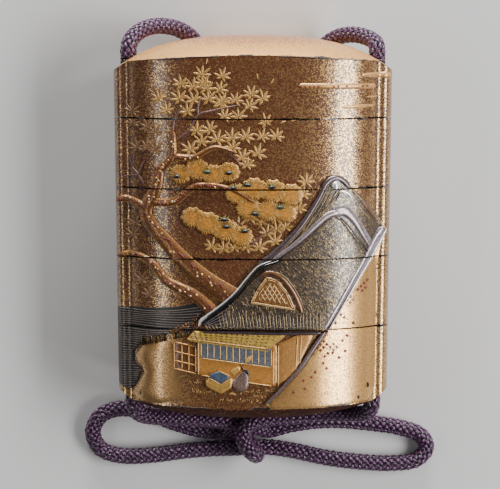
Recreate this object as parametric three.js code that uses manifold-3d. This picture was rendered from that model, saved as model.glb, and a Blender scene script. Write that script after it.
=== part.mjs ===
// Inro: a lacquered lid and four stacked boxes, strung on one silk cord and lying on its back.
// Millimetres. X runs across the front, Y from the base to the lid, and Z out of the front.
// The origin is the middle of the case with its relief, and without its cord.
import * as THREE from 'three';
import { ParametricGeometry } from 'three/addons/geometries/ParametricGeometry.js';
import { mergeVertices } from 'three/addons/utils/BufferGeometryUtils.js';
import Module from 'manifold-3d';

const wasm = await Module();
wasm.setup();

// Driving dimensions of the case
const halfWidth = 29.2;
const halfDepth = 12.5;
const backFlat = 12.2;
const wallHeight = 73.4;
const lidDome = 4.0;
const baseDome = 3.2;
const baseTaper = 0.031;
const seamGap = 0.3;

// Heights of the four seams above the base's edge
const seamHeights = [60.3, 45.8, 31.4, 16.7];

// Walls: the lip is the thin inner wall that stands up into the piece above
const lipHeight = 4.5;
const floorThickness = 1.3;
const lidThickness = 0.6;
const lipOuter = { reach: 22.8, depth: 10.6 };
const lipInner = { reach: 22.0, depth: 9.8 };
const fitGap = 0.3;

// Cord and the two runners that it is threaded through
const cordDiameter = 3.7;
const runnerRadius = 2.2;
const runnerX = 26.0;
const cordInset = 1.0;

const baseEdge = (baseDome - lidDome - wallHeight) / 2;
const lidEdge = baseEdge + wallHeight;
const endToEnd = wallHeight + lidDome + baseDome;
const cordRadius = cordDiameter / 2;
const cordLevel = -backFlat - fitGap - cordRadius;

// Section through the case: a lens with a rounded runner ridge along each side
const lensReach = 27.5;
const lensPower = 2.6;
const lipPower = 3.2;
const ridgeStart = 27.0;
const ridgeDepth = 4.6;
const ridgePower = 2.5;
const ridgeFillet = 0.8;
const outlineSteps = 56;
const innerSteps = 40;
const boreSides = 16;

function lensDepth(x, reach, depth, power) {
  return depth * Math.sqrt(Math.max(0, 1 - (Math.abs(x) / reach) ** power));
}

function ridgeFront(x, lift) {
  const along = Math.max(0, Math.abs(x) - ridgeStart) / (halfWidth + lift - ridgeStart);
  return (ridgeDepth + lift) * Math.max(0, 1 - along ** ridgePower) ** (1 / ridgePower);
}

function caseDepth(x, lift) {
  const lens = lensDepth(x, lensReach + lift, halfDepth + lift, lensPower);
  const ridge = ridgeFront(x, lift);
  const blend = ridgeFillet * Math.min(1, ridge);
  return (lens + ridge + Math.hypot(lens - ridge, blend)) / 2;
}

// Point of the case's section at a turn from 0 to 1, raised by lift for the relief
function caseOutline(turn, lift) {
  const angle = turn * Math.PI * 2;
  const x = (halfWidth + lift) * Math.sin(angle);
  const depth = caseDepth(x, lift);
  return { x, z: Math.cos(angle) >= 0 ? depth : Math.max(-depth, -backFlat) };
}

// The two end edges arch towards the middle and are cut away over the runners
function edgeDrop(x, arch, runnerCut) {
  const over = Math.max(0, Math.abs(x) - runnerX) / (halfWidth - runnerX);
  return arch * (x / halfWidth) ** 2 + runnerCut * Math.min(1, over);
}

const lidArch = { arch: 1.7, cut: 1.6 };
const baseArch = { arch: 1.2, cut: 2.2 };
const domePower = 2.2;
const edgePower = 4.5;
const domeRings = [0, 0.5, 0.78, 0.93, 1];

function lidTop(x, scale) {
  const drop = edgeDrop(x, lidArch.arch, lidArch.cut) * scale ** edgePower;
  return lidEdge - drop + lidDome * (1 - scale ** domePower);
}

function baseBottom(x, scale) {
  const rise = edgeDrop(x, baseArch.arch, baseArch.cut) * scale ** edgePower;
  return baseEdge + rise - baseDome * (1 - scale ** domePower);
}

// Turn a closed three.js geometry into a solid that can be joined and cut
function solidFrom(geometry) {
  const bare = geometry.clone();
  bare.deleteAttribute('normal');
  bare.deleteAttribute('uv');
  const merged = mergeVertices(bare, 1e-4);
  const index = merged.index.array;
  const corners = [];
  for (let i = 0; i < index.length; i += 3) {
    const [a, b, c] = [index[i], index[i + 1], index[i + 2]];
    if (a !== b && b !== c && c !== a) corners.push(a, b, c);
  }
  const vertProperties = new Float32Array(merged.attributes.position.array);
  return new wasm.Manifold(new wasm.Mesh({ numProp: 3, vertProperties, triVerts: new Uint32Array(corners) }));
}

function geometryFrom(solid) {
  const mesh = solid.getMesh();
  const geometry = new THREE.BufferGeometry();
  geometry.setAttribute('position', new THREE.BufferAttribute(new Float32Array(mesh.vertProperties), 3));
  geometry.setIndex(new THREE.BufferAttribute(new Uint32Array(mesh.triVerts), 1));
  return geometry;
}

// The whole outer form as one pillow, from the middle of the base to the middle of the lid
function wholeCase(lift) {
  const rings = domeRings.length;
  const stacks = rings * 2 - 1;
  const surface = (turn, rise, target) => {
    const ring = Math.round(rise * stacks);
    const onBase = ring < rings;
    const scale = onBase ? domeRings[ring] : domeRings[stacks - ring];
    const edge = caseOutline(turn % 1, lift);
    const y = onBase ? baseBottom(edge.x, scale) : lidTop(edge.x, scale);
    target.set(edge.x * scale, y, edge.z * scale);
  };
  return solidFrom(new ParametricGeometry(surface, outlineSteps, stacks));
}

// A straight prism along Y with a lens section, for lips and hollows
function lensPrism({ reach, depth }, low, high) {
  const shape = new THREE.Shape();
  for (let i = 0; i < innerSteps; i += 1) {
    const angle = (i / innerSteps) * Math.PI * 2;
    const x = reach * Math.cos(angle);
    const y = (i < innerSteps / 2 ? 1 : -1) * lensDepth(x, reach, depth, lipPower);
    if (i === 0) shape.moveTo(x, y);
    else shape.lineTo(x, y);
  }
  shape.closePath();
  const geometry = new THREE.ExtrudeGeometry(shape, { depth: high - low, bevelEnabled: false });
  geometry.rotateX(-Math.PI / 2);
  geometry.translate(0, low, 0);
  return solidFrom(geometry);
}

function slab(low, high) {
  const geometry = new THREE.BoxGeometry(halfWidth * 4, high - low, halfDepth * 4);
  geometry.translate(0, (low + high) / 2, 0);
  return solidFrom(geometry);
}

// Relief outlines, drawn on the front in X and Y

function outline(points) {
  return new THREE.Shape(points.map(([x, y]) => new THREE.Vector2(x, y)));
}

// A branch or a bank: a strip along a smooth line, with its width at each end
function strip(points, startWidth, endWidth, steps = 10) {
  const line = new THREE.SplineCurve(points.map(([x, y]) => new THREE.Vector2(x, y)));
  const left = [];
  const right = [];
  for (let i = 0; i <= steps; i += 1) {
    const at = i / steps;
    const middle = line.getPointAt(at);
    const tangent = line.getTangentAt(at);
    const half = (startWidth + (endWidth - startWidth) * at) / 2;
    left.push([middle.x - tangent.y * half, middle.y + tangent.x * half]);
    right.unshift([middle.x + tangent.y * half, middle.y - tangent.x * half]);
  }
  return outline([...left, ...right]);
}

// A rounded clump of pine needles
function clump(x, y, radius, sides = 10) {
  const points = [];
  for (let i = 0; i < sides; i += 1) {
    const angle = (i / sides) * Math.PI * 2;
    points.push([x + radius * 1.15 * Math.cos(angle), y + radius * Math.sin(angle)]);
  }
  return outline(points);
}

// A bar of mist with tapered ends
function mist(fromX, toX, y, height) {
  const slope = height * 2;
  const half = height / 2;
  return outline([
    [fromX, y - half * 0.3], [fromX + slope, y - half], [toX - slope, y - half],
    [toX, y], [toX - slope, y + half], [fromX + slope, y + half],
  ]);
}

// Edge of the hill at the right, from the runner down to the base
const hillEdge = [[27.4, 0.8], [21.6, -8.6], [16.6, -15.6], [13.2, -21.6], [9.8, -28.6], [6.2, -33.0], [2.4, -35.8]];

const thatchedRoof = outline([
  [-11.6, -19.3], [-8.2, -16.8], [-3.6, -13.6], [1.6, -8.8], [4.8, -6.0], [8.0, -2.2], [11.0, 2.4],
  [14.0, 8.0], [15.6, 10.6], [17.6, 11.2], [19.6, 10.2], [22.8, 7.4], [25.6, 4.2], [27.2, 1.2],
  [21.4, -8.4], [16.4, -15.4], [13.4, -20.8], [4.0, -20.3], [-5.0, -20.0],
]);
const gable = outline([[0.2, -15.9], [4.8, -9.6], [6.6, -9.9], [10.6, -17.3], [9.2, -17.4]]);
const leanToRoof = outline([[-13.2, -21.6], [7.6, -22.4], [4.4, -25.6], [-9.2, -24.6]]);
const houseWall = outline([[-10.6, -24.3], [4.7, -25.4], [8.2, -21.9], [12.9, -21.7], [9.5, -28.4], [5.6, -32.8], [-10.6, -30.2]]);
const hill = outline([...hillEdge, [24.2, -35.4], [27.0, -33.0], [27.4, -12.0]]);
const bank = outline([
  [-20.6, -22.7], [-14.6, -21.8], [-13.4, -24.2], [-13.4, -30.4], [-15.0, -34.8], [-24.4, -34.6],
  [-24.6, -31.6], [-22.8, -29.2], [-24.8, -26.6], [-23.8, -24.2],
]);

const trunks = [
  strip([[-3.8, -13.6], [-10.5, -9.6], [-17.6, -3.0], [-22.6, 3.6], [-20.4, 8.6], [-19.4, 13.4]], 4.2, 2.2, 12),
  strip([[-20.0, 12.6], [-16.8, 15.6], [-16.4, 20.6], [-14.4, 26.4]], 2.0, 0.8, 8),
  strip([[-21.4, 6.0], [-16.6, 6.2], [-11.8, 9.4], [-5.2, 9.0], [0.4, 6.0]], 1.9, 0.8, 9),
  strip([[-7.6, -17.2], [-12.4, -13.2], [-18.2, -10.4], [-22.0, -6.4], [-26.4, -5.2]], 2.8, 1.3, 8),
  strip([[-16.6, 15.4], [-12.2, 15.4], [-8.0, 17.4], [-3.6, 16.4]], 1.5, 0.6, 6),
];

const clumpSites = [
  [-15.2, 11.9, 2.0], [-11.6, 12.9, 2.2], [-8.2, 11.8, 2.1], [-5.0, 12.4, 2.0],
  [-3.4, 7.9, 2.1], [0.2, 8.9, 2.3], [4.2, 8.4, 2.4], [8.0, 7.6, 2.3],
  [-1.0, 5.0, 2.2], [3.2, 4.4, 2.2], [7.0, 3.9, 2.0],
  [-12.6, 3.0, 2.1], [-9.4, 1.8, 2.3], [-5.8, 0.4, 2.3], [-2.4, -0.9, 2.1],
];

const mistBands = [
  mist(9.4, 25.4, 29.9, 1.0),
  mist(22.4, 28.4, 32.3, 1.1),
  mist(18.4, 27.6, 25.6, 0.9),
];

// Each layer of relief: how far it stands out of the ground, and its outlines
const highestRelief = 1.0;
const relief = [
  { lift: 0.7, outlines: [thatchedRoof] },
  { lift: highestRelief, outlines: [strip(hillEdge, 1.3, 0.7, 14), gable] },
  { lift: 0.4, outlines: [houseWall, hill, bank] },
  { lift: 0.6, outlines: [leanToRoof, ...trunks] },
  { lift: 0.5, outlines: clumpSites.map(([x, y, radius]) => clump(x, y, radius)) },
  { lift: 0.25, outlines: mistBands },
];

function raised({ lift, outlines }) {
  const prisms = outlines.map((shape) => {
    const depth = halfDepth + 2 * lift;
    return solidFrom(new THREE.ExtrudeGeometry(shape, { depth, bevelEnabled: false, steps: 1 }));
  });
  return wholeCase(lift).intersect(wasm.Manifold.union(prisms));
}

// The boxes narrow a little towards the base
function taperAt(y) {
  return 1 - baseTaper * (lidEdge - y) / wallHeight;
}

function taper(geometry) {
  const position = geometry.attributes.position;
  for (let i = 0; i < position.count; i += 1) {
    position.setX(i, position.getX(i) * taperAt(position.getY(i)));
  }
  return geometry;
}

// Round hole for the cord through each side, from end to end
function runnerBores() {
  const bores = [-runnerX, runnerX].map((x) => {
    const geometry = new THREE.CylinderGeometry(runnerRadius, runnerRadius, endToEnd * 1.2, boreSides);
    geometry.translate(x, 0, 0);
    return solidFrom(geometry);
  });
  return wasm.Manifold.union(bores);
}

const decorated = relief.reduce((solid, layer) => solid.add(raised(layer)), wholeCase(0));
const strung = decorated.subtract(runnerBores());
const seams = seamHeights.map((height) => baseEdge + height);
const recess = { reach: lipOuter.reach + fitGap, depth: lipOuter.depth + fitGap };

function lidSolid() {
  const low = seams[0] + seamGap / 2;
  const ceiling = lidEdge - lidThickness;
  const shell = strung.intersect(slab(low, endToEnd));
  const underDome = lensPrism({ reach: 17.6, depth: 7.6 }, ceiling - 1, ceiling + lidDome * 0.4);
  return shell.subtract(lensPrism(recess, low - 1, ceiling)).subtract(underDome);
}

// A box: outer wall, floor, recess below it for the next lip, and its own lip above
function boxSolid(low, high, isBase) {
  const shell = strung.intersect(slab(isBase ? -endToEnd : low, high));
  const recessTop = low + lipHeight + fitGap;
  const floor = isBase ? baseEdge + lidThickness : recessTop + floorThickness;
  const lip = lensPrism(lipOuter, high - 1, high + lipHeight);
  const box = shell.add(lip).subtract(lensPrism(lipInner, floor, high + lipHeight + 1));
  return isBase ? box : box.subtract(lensPrism(recess, low - 1, recessTop));
}

// Small chip out of the right runner ridge, just above the second seam
const chipRadius = 1.1;
function chip() {
  const geometry = new THREE.SphereGeometry(chipRadius, 8, 6);
  geometry.translate(halfWidth + 0.5, seams[1] + 0.3, 1.2);
  return solidFrom(geometry);
}

const lacquer = new THREE.MeshStandardMaterial({ color: 0x7d5a33, roughness: 0.35, metalness: 0.5 });
const silk = new THREE.MeshStandardMaterial({ color: 0x3c1c3c, roughness: 0.7, metalness: 0 });

// The relief makes the case deeper in front than behind, so its middle lies in front of the runners
const inro = new THREE.Group();
inro.position.z = (backFlat - halfDepth - highestRelief) / 2;

function addPiece(name, geometry, material) {
  geometry.computeVertexNormals();
  const mesh = new THREE.Mesh(geometry, material);
  mesh.name = name;
  inro.add(mesh);
}

const half = seamGap / 2;
addPiece('lid', taper(geometryFrom(lidSolid())), lacquer);
addPiece('case_1', taper(geometryFrom(boxSolid(seams[1] + half, seams[0] - half, false).subtract(chip()))), lacquer);
addPiece('case_2', taper(geometryFrom(boxSolid(seams[2] + half, seams[1] - half, false))), lacquer);
addPiece('case_3', taper(geometryFrom(boxSolid(seams[3] + half, seams[2] - half, false))), lacquer);
addPiece('case_4', taper(geometryFrom(boxSolid(baseEdge, seams[3] - half, true))), lacquer);

// The cord, as plain tubes along its route
function cordTube(points, steps) {
  const section = new THREE.Shape();
  const sides = 8;
  for (let i = 0; i < sides; i += 1) {
    const angle = ((i + 0.5) / sides) * Math.PI * 2;
    const corner = [cordRadius * Math.cos(angle), cordRadius * Math.sin(angle)];
    if (i === 0) section.moveTo(...corner);
    else section.lineTo(...corner);
  }
  section.closePath();
  const extrudePath = new THREE.CatmullRomCurve3(points.map((point) => new THREE.Vector3(...point)), false, 'centripetal');
  return new THREE.ExtrudeGeometry(section, { steps, extrudePath });
}

// Where the cord leaves the runners at the lid and at the base
const topExit = lidEdge - cordInset;
const baseExit = baseEdge + cordInset + lidThickness;
const topX = runnerX * taperAt(topExit);
const baseX = runnerX * taperAt(baseExit);

for (const [side, name] of [[-1, 'cord_in_left_runner'], [1, 'cord_in_right_runner']]) {
  const ends = [[side * topX, topExit - fitGap, 0], [side * baseX, baseExit + fitGap, 0]];
  addPiece(name, cordTube(ends, 1), silk);
}

// From the top of the left runner, down behind the lid, in a loop under the back,
// and up into the right runner. The case rests on this loop.
const loopX = 8.2;
const loopTurnY = -21;
const loopTurn = [];
for (let i = 0; i <= 6; i += 1) {
  const angle = Math.PI * (1 + i / 6);
  loopTurn.push([loopX * Math.cos(angle), loopTurnY + loopX * Math.sin(angle), cordLevel]);
}
const upperRoute = [
  [-topX, topExit, 0], [-26.0, 37.8, -0.3], [-25.2, 39.7, -1.5], [-23.4, 41.2, -3.3], [-20.9, 42.0, -5.5],
  [-18.0, 41.9, -8.0], [-15.0, 40.9, -10.7], [-12.6, 38.8, -13.0], [-11.0, 35.2, -14.2],
  [-9.8, 27.0, cordLevel], [-8.6, 16.0, cordLevel], [-loopX, 4.0, cordLevel], [-loopX, -10.0, cordLevel],
  ...loopTurn,
  [loopX, -10.0, cordLevel], [loopX, 4.0, cordLevel], [8.8, 16.0, cordLevel], [10.8, 25.0, cordLevel],
  [12.6, 31.6, cordLevel], [14.2, 35.8, -13.9], [16.2, 38.4, -12.2], [18.6, 39.8, -9.6],
  [21.4, 40.2, -6.7], [23.9, 39.7, -4.1], [25.6, 38.7, -1.8], [26.0, 37.6, -0.3], [topX, topExit, 0],
];
addPiece('cord_over_back', cordTube(upperRoute, 36), silk);

// From each runner at the base to the bow knot on the surface below
const leftStrand = [
  [-baseX, baseExit, 0], [-25.2, -38.0, -0.3], [-24.2, -40.1, -2.0], [-20.8, -41.3, -4.8],
  [-16.0, -41.8, -7.4], [-11.0, -42.4, -9.4], [-4.6, -43.2, -10.2],
];
const rightStrand = [
  [baseX, baseExit, 0], [25.2, -38.0, -0.3], [24.3, -39.9, -2.4], [21.4, -40.7, -5.6],
  [16.5, -41.1, -8.0], [11.0, -41.7, -9.2], [6.0, -42.0, -9.0], [2.8, -42.4, -8.4],
];
addPiece('cord_below_left', cordTube(leftStrand, 6), silk);
addPiece('cord_below_right', cordTube(rightStrand, 6), silk);

// The two loops of the bow lie flat, and the knot stands on the same surface
const leftLoop = [
  [-4.9, -45.9, cordLevel], [-10.5, -45.8, cordLevel], [-16.5, -44.3, cordLevel], [-22.6, -42.1, cordLevel],
  [-28.6, -41.0, cordLevel], [-33.0, -42.5, cordLevel], [-34.8, -46.2, cordLevel], [-33.0, -49.9, cordLevel],
  [-28.5, -51.4, cordLevel], [-21.5, -51.2, cordLevel], [-14.5, -50.3, cordLevel], [-8.5, -49.8, cordLevel],
  [-4.9, -49.7, cordLevel],
];
const rightLoop = [
  [3.3, -45.7, cordLevel], [8.0, -44.6, cordLevel], [13.0, -43.8, cordLevel], [18.6, -43.6, cordLevel],
  [25.6, -44.2, cordLevel], [32.2, -45.2, cordLevel], [36.6, -46.9, cordLevel], [37.8, -49.6, cordLevel],
  [35.6, -52.2, cordLevel], [30.8, -53.0, cordLevel], [24.0, -52.8, cordLevel], [16.0, -51.8, cordLevel],
  [8.6, -50.2, cordLevel], [3.3, -49.5, cordLevel],
];
addPiece('bow_left_loop', cordTube(leftLoop, 14), silk);
addPiece('bow_right_loop', cordTube(rightLoop, 14), silk);

const knotSize = { x: 3.3, y: 5.3, z: 4.9 };
const knotX = -0.8;
const knotY = -46.4;
const knotGeometry = new THREE.SphereGeometry(1, 12, 8);
knotGeometry.scale(knotSize.x, knotSize.y, knotSize.z);
knotGeometry.translate(knotX, knotY, cordLevel - cordRadius + knotSize.z);
addPiece('bow_knot', geometryFrom(solidFrom(knotGeometry)), silk);

export default inro;
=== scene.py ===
import math
import random

import bmesh
import bpy
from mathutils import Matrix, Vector
from mathutils.geometry import delaunay_2d_cdt


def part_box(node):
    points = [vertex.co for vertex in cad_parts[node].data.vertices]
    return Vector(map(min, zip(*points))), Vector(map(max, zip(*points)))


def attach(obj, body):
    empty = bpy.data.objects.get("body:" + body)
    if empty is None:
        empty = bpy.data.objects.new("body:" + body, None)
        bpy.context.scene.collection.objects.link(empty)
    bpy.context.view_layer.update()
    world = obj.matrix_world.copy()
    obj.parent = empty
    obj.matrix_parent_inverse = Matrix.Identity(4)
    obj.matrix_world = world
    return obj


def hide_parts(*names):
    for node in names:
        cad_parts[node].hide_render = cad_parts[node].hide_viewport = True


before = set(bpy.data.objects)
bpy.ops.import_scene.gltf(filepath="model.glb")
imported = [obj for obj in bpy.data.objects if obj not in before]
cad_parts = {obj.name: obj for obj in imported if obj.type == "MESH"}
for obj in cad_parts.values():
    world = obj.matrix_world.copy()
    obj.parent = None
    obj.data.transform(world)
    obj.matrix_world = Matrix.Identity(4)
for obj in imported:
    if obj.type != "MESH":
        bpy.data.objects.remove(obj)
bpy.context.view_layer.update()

MM = 0.001
back_flat = 12.2
case_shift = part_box("lid")[0].z / MM + back_flat


def at(x, y, z):
    """A point of the case in metres, from millimetres with Z counted from the runners."""
    return Vector((x * MM, y * MM, (z + case_shift) * MM))


def in_scene(name, data):
    """An object of the given data, put in the scene."""
    thing = bpy.data.objects.new(name, data)
    bpy.context.scene.collection.objects.link(thing)
    return thing


photo_width_px = 500
mm_per_px = 0.21
sensor_width = 36.0
camera_lean = math.radians(5.5)
camera_distance = 560.0
look_at = at(-0.6, -3.6, 2.0)
towards_camera = Vector((0, math.sin(camera_lean), math.cos(camera_lean)))
camera = in_scene("camera", bpy.data.cameras.new("camera"))
camera.data.sensor_width = sensor_width
camera.data.lens = sensor_width * camera_distance / (photo_width_px * mm_per_px)
camera.data.clip_start = 0.01
camera.location = look_at + towards_camera * camera_distance * MM
camera.rotation_euler = (-camera_lean, 0, 0)
bpy.context.scene.camera = camera

# Cord. One length of round silk braid, dyed dark purple: sixteen strands that pass over
# and under each other. It leaves both runners at the lid, goes behind it and folds under the
# back. Below, it is tied in a bow with two flat loops.
cord_diameter = 3.7
cord_level = -back_flat - 0.3 - cord_diameter / 2
strands = 16
braid_pitch = 12.0
strand_radius = 1.42
strand_weave = 0.15
strand_thick = 0.27
strand_wide = 0.5
strand_sides = 5
braid_step = 0.34
curve_steps = 24


def smooth_route(points, step):
    """Evenly spaced points on a smooth curve through the given ones."""
    dense = []
    for i in range(len(points) - 1):
        a, b = points[i], points[i + 1]
        before = points[i - 1] if i else a * 2 - b
        after = points[i + 2] if i + 2 < len(points) else b * 2 - a
        knots = [0.0]
        for p, q in ((before, a), (a, b), (b, after)):
            knots.append(knots[-1] + math.sqrt((q - p).length))
        for k in range(curve_steps):
            t = knots[1] + (knots[2] - knots[1]) * k / curve_steps
            low = before.lerp(a, (t - knots[0]) / (knots[1] - knots[0]))
            mid = a.lerp(b, (t - knots[1]) / (knots[2] - knots[1]))
            high = b.lerp(after, (t - knots[2]) / (knots[3] - knots[2]))
            left = low.lerp(mid, (t - knots[0]) / (knots[2] - knots[0]))
            right = mid.lerp(high, (t - knots[1]) / (knots[3] - knots[1]))
            dense.append(left.lerp(right, (t - knots[1]) / (knots[2] - knots[1])))
    dense.append(points[-1])
    lengths = [0.0]
    for p, q in zip(dense, dense[1:]):
        lengths.append(lengths[-1] + (q - p).length)
    count = max(2, round(lengths[-1] / step))
    spaced = []
    j = 0
    for k in range(count + 1):
        goal = lengths[-1] * k / count
        while j < len(dense) - 2 and lengths[j + 1] < goal:
            j += 1
        share = (goal - lengths[j]) / (lengths[j + 1] - lengths[j])
        spaced.append(dense[j].lerp(dense[j + 1], share))
    return spaced


def braided(name, route):
    """A mesh of woven strands along a route, with each point's height in the weave, used to paint glints on
    the strands' crests.
    """
    path = smooth_route(route, braid_step)
    tangents = []
    for i in range(len(path)):
        ahead = path[min(i + 1, len(path) - 1)]
        behind = path[max(i - 1, 0)]
        tangents.append((ahead - behind).normalized())
    side = tangents[0].orthogonal().normalized()
    sides = []
    for tangent in tangents:
        side = (side - tangent * side.dot(tangent)).normalized()
        sides.append(side)
    vertices, faces, glint_heights = [], [], []
    weave_length = braid_pitch / (strands / 2)
    for strand in range(strands):
        turning = 1 if strand % 2 else -1
        phase = math.tau * (strand // 2) / (strands / 2)
        centres, outs = [], []
        for i, point in enumerate(path):
            run = i * braid_step
            angle = turning * math.tau * run / braid_pitch + phase
            weave = math.cos(math.tau * run / weave_length)
            up = tangents[i].cross(sides[i])
            out = sides[i] * math.cos(angle) + up * math.sin(angle)
            centres.append(point + out * (strand_radius + turning * strand_weave * weave))
            outs.append((out, turning * weave))
        first = len(vertices)
        for i, centre in enumerate(centres):
            along = centres[min(i + 1, len(path) - 1)] - centres[max(i - 1, 0)]
            out, weave = outs[i]
            across = along.normalized().cross(out)
            for k in range(strand_sides):
                turn = math.tau * k / strand_sides
                offset = out * math.cos(turn) * strand_thick + across * math.sin(turn) * strand_wide
                vertices.append(centre + offset)
                # Painted highlight: the higher a point lies in the weave and the more it faces out, the
                # paler its glint colour
                glint_heights.append(0.5 + 0.35 * weave + 0.15 * math.cos(turn))
        for i in range(len(path) - 1):
            for k in range(strand_sides):
                a = first + i * strand_sides + k
                b = first + i * strand_sides + (k + 1) % strand_sides
                faces.append((a, b, b + strand_sides, a + strand_sides))
        faces.append([first + k for k in reversed(range(strand_sides))])
        last = len(vertices) - strand_sides
        faces.append([last + k for k in range(strand_sides)])
    mesh = bpy.data.meshes.new(name)
    mesh.from_pydata([at(*v) for v in vertices], [], faces)
    mesh.attributes.new("glint_height", "FLOAT", "POINT").data.foreach_set("value", glint_heights)
    mesh.shade_smooth()
    return in_scene(name, mesh), [at(*p) for p in path]


def vectors(points):
    return [Vector(p) for p in points]


runner_x = 25.99
base_x = 25.23
top_exit = 35.3
base_exit = -35.5
loop_x = 8.2
loop_turn_y = -21.0
loop_turn = []
for i in range(7):
    angle = math.pi * (1 + i / 6)
    loop_turn.append((loop_x * math.cos(angle), loop_turn_y + loop_x * math.sin(angle), cord_level))
upper_route = vectors([
    (-runner_x, top_exit, 0), (-26.0, 37.8, -0.3), (-25.2, 39.7, -1.5), (-23.4, 41.2, -3.3),
    (-20.9, 42.0, -5.5), (-18.0, 41.9, -8.0), (-15.0, 40.9, -10.7), (-12.6, 38.8, -13.0),
    (-11.0, 35.2, -14.2), (-9.8, 27.0, cord_level), (-8.6, 16.0, cord_level),
    (-loop_x, 4.0, cord_level), (-loop_x, -10.0, cord_level),
    *loop_turn,
    (loop_x, -10.0, cord_level), (loop_x, 4.0, cord_level), (8.8, 16.0, cord_level),
    (10.8, 25.0, cord_level), (12.6, 31.6, cord_level), (14.2, 35.8, -13.9),
    (16.2, 38.4, -12.2), (18.6, 39.8, -9.6), (21.4, 40.2, -6.7), (23.9, 39.7, -4.1),
    (25.6, 38.7, -1.8), (26.0, 37.6, -0.3), (runner_x, top_exit, 0),
])
left_strand = [
    (-base_x, base_exit, 0), (-25.2, -38.0, -0.3), (-24.2, -40.1, -2.0), (-20.8, -41.3, -4.8),
    (-16.0, -41.8, -7.4), (-11.0, -42.4, -9.4), (-4.6, -43.2, -10.2), (-1.0, -43.9, -11.2),
]
right_loop = [
    (3.3, -45.7, cord_level), (8.0, -44.6, cord_level), (13.0, -43.8, cord_level),
    (18.6, -43.6, cord_level), (25.6, -44.2, cord_level), (32.2, -45.2, cord_level),
    (36.6, -46.9, cord_level), (37.8, -49.6, cord_level), (35.6, -52.2, cord_level),
    (30.8, -53.0, cord_level), (24.0, -52.8, cord_level), (16.0, -51.8, cord_level),
    (8.6, -50.2, cord_level), (3.3, -49.5, cord_level),
]
left_loop = [
    (-4.9, -49.7, cord_level), (-8.5, -49.8, cord_level), (-14.5, -50.3, cord_level),
    (-21.5, -51.2, cord_level), (-28.5, -51.4, cord_level), (-33.0, -49.9, cord_level),
    (-34.8, -46.2, cord_level), (-33.0, -42.5, cord_level), (-28.6, -41.0, cord_level),
    (-22.6, -42.1, cord_level), (-16.5, -44.3, cord_level), (-10.5, -45.8, cord_level),
    (-4.9, -45.9, cord_level),
]
knot_band = [
    (-2.4, -46.6, -13.0), (-0.2, -48.6, -11.4), (0.9, -50.4, -9.6), (-0.2, -49.6, -7.8),
    (-1.8, -47.2, -7.4), (-1.9, -44.8, -7.4), (-0.2, -43.0, -7.8),
]
right_strand = [
    (2.8, -42.4, -8.4), (6.0, -42.0, -9.0), (11.0, -41.7, -9.2), (16.5, -41.1, -8.0),
    (21.4, -40.7, -5.6), (24.3, -39.9, -2.4), (25.2, -38.0, -0.3), (base_x, base_exit, 0),
]
bow_route = vectors(left_strand + right_loop + left_loop + knot_band + right_strand)

cord_over_back, upper_path = braided("silk_cord_over_back", upper_route)
bow, bow_path = braided("silk_cord_bow", bow_route)


def new_material(name):
    """A new material, with its nodes and its main shader."""
    material = bpy.data.materials.new(name)
    material.use_nodes = True
    return material, material.node_tree, material.node_tree.nodes["Principled BSDF"]


def maths(tree, operation, a, b=None, c=None, clamp=False):
    """A math node fed by sockets or plain numbers. Returns its output."""
    node = tree.nodes.new("ShaderNodeMath")
    node.operation = operation
    node.use_clamp = clamp
    for slot, value in enumerate((a, b, c)):
        if value is None:
            continue
        if isinstance(value, (int, float)):
            node.inputs[slot].default_value = value
        else:
            tree.links.new(value, node.inputs[slot])
    return node.outputs[0]


def speckle(tree, scale, detail=2.0, roughness=0.5):
    """Noise fixed to the piece. Returns its height."""
    place = tree.nodes.new("ShaderNodeTexCoord")
    texture = tree.nodes.new("ShaderNodeTexNoise")
    texture.inputs["Scale"].default_value = scale
    texture.inputs["Detail"].default_value = detail
    texture.inputs["Roughness"].default_value = roughness
    tree.links.new(place.outputs["Object"], texture.inputs["Vector"])
    return texture.outputs["Fac"]


def bumped(tree, shader, height, strength, distance, invert=False):
    """Fine relief on a material's surface from a height."""
    bump = tree.nodes.new("ShaderNodeBump")
    bump.invert = invert
    bump.inputs["Strength"].default_value = strength
    bump.inputs["Distance"].default_value = distance
    tree.links.new(height, bump.inputs["Height"])
    tree.links.new(bump.outputs["Normal"], shader.inputs["Normal"])


purple_deep = (0.011, 0.002, 0.012, 1)
purple_painted_glint = (0.43, 0.155, 0.40, 1)
silk, tree, shader = new_material("purple_silk")
shader.inputs["Roughness"].default_value = 0.3
shader.inputs["Sheen Weight"].default_value = 0.12
shader.inputs["Sheen Tint"].default_value = (0.9, 0.55, 0.85, 1)
glint_height = tree.nodes.new("ShaderNodeAttribute")
glint_height.attribute_name = "glint_height"
fibres = speckle(tree, 5200)
# Painted highlight: the strands' crests, and the side of each that faces out, are coloured pale pink as
# glints on the silk
raised = maths(tree, "MULTIPLY_ADD", glint_height.outputs["Fac"], 0.6, -0.38)
lit = maths(tree, "MULTIPLY_ADD", fibres, 0.6, raised)
shades = tree.nodes.new("ShaderNodeValToRGB")
for element, position, colour in zip(shades.color_ramp.elements, (0.42, 0.62), (purple_deep, purple_painted_glint)):
    element.position = position
    element.color = colour
tree.links.new(lit, shades.inputs["Fac"])
tree.links.new(shades.outputs["Color"], shader.inputs["Base Color"])
bumped(tree, shader, fibres, 0.5, 0.0001)

for piece in (cord_over_back, bow):
    piece.data.materials.append(silk)
    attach(piece, "root")
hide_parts("cord_over_back")
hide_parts("cord_below_left", "cord_below_right", "bow_left_loop", "bow_right_loop", "bow_knot")
for side in ("left", "right"):
    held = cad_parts[f"cord_in_{side}_runner"]
    held.data.materials.clear()
    held.data.materials.append(silk)

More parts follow.
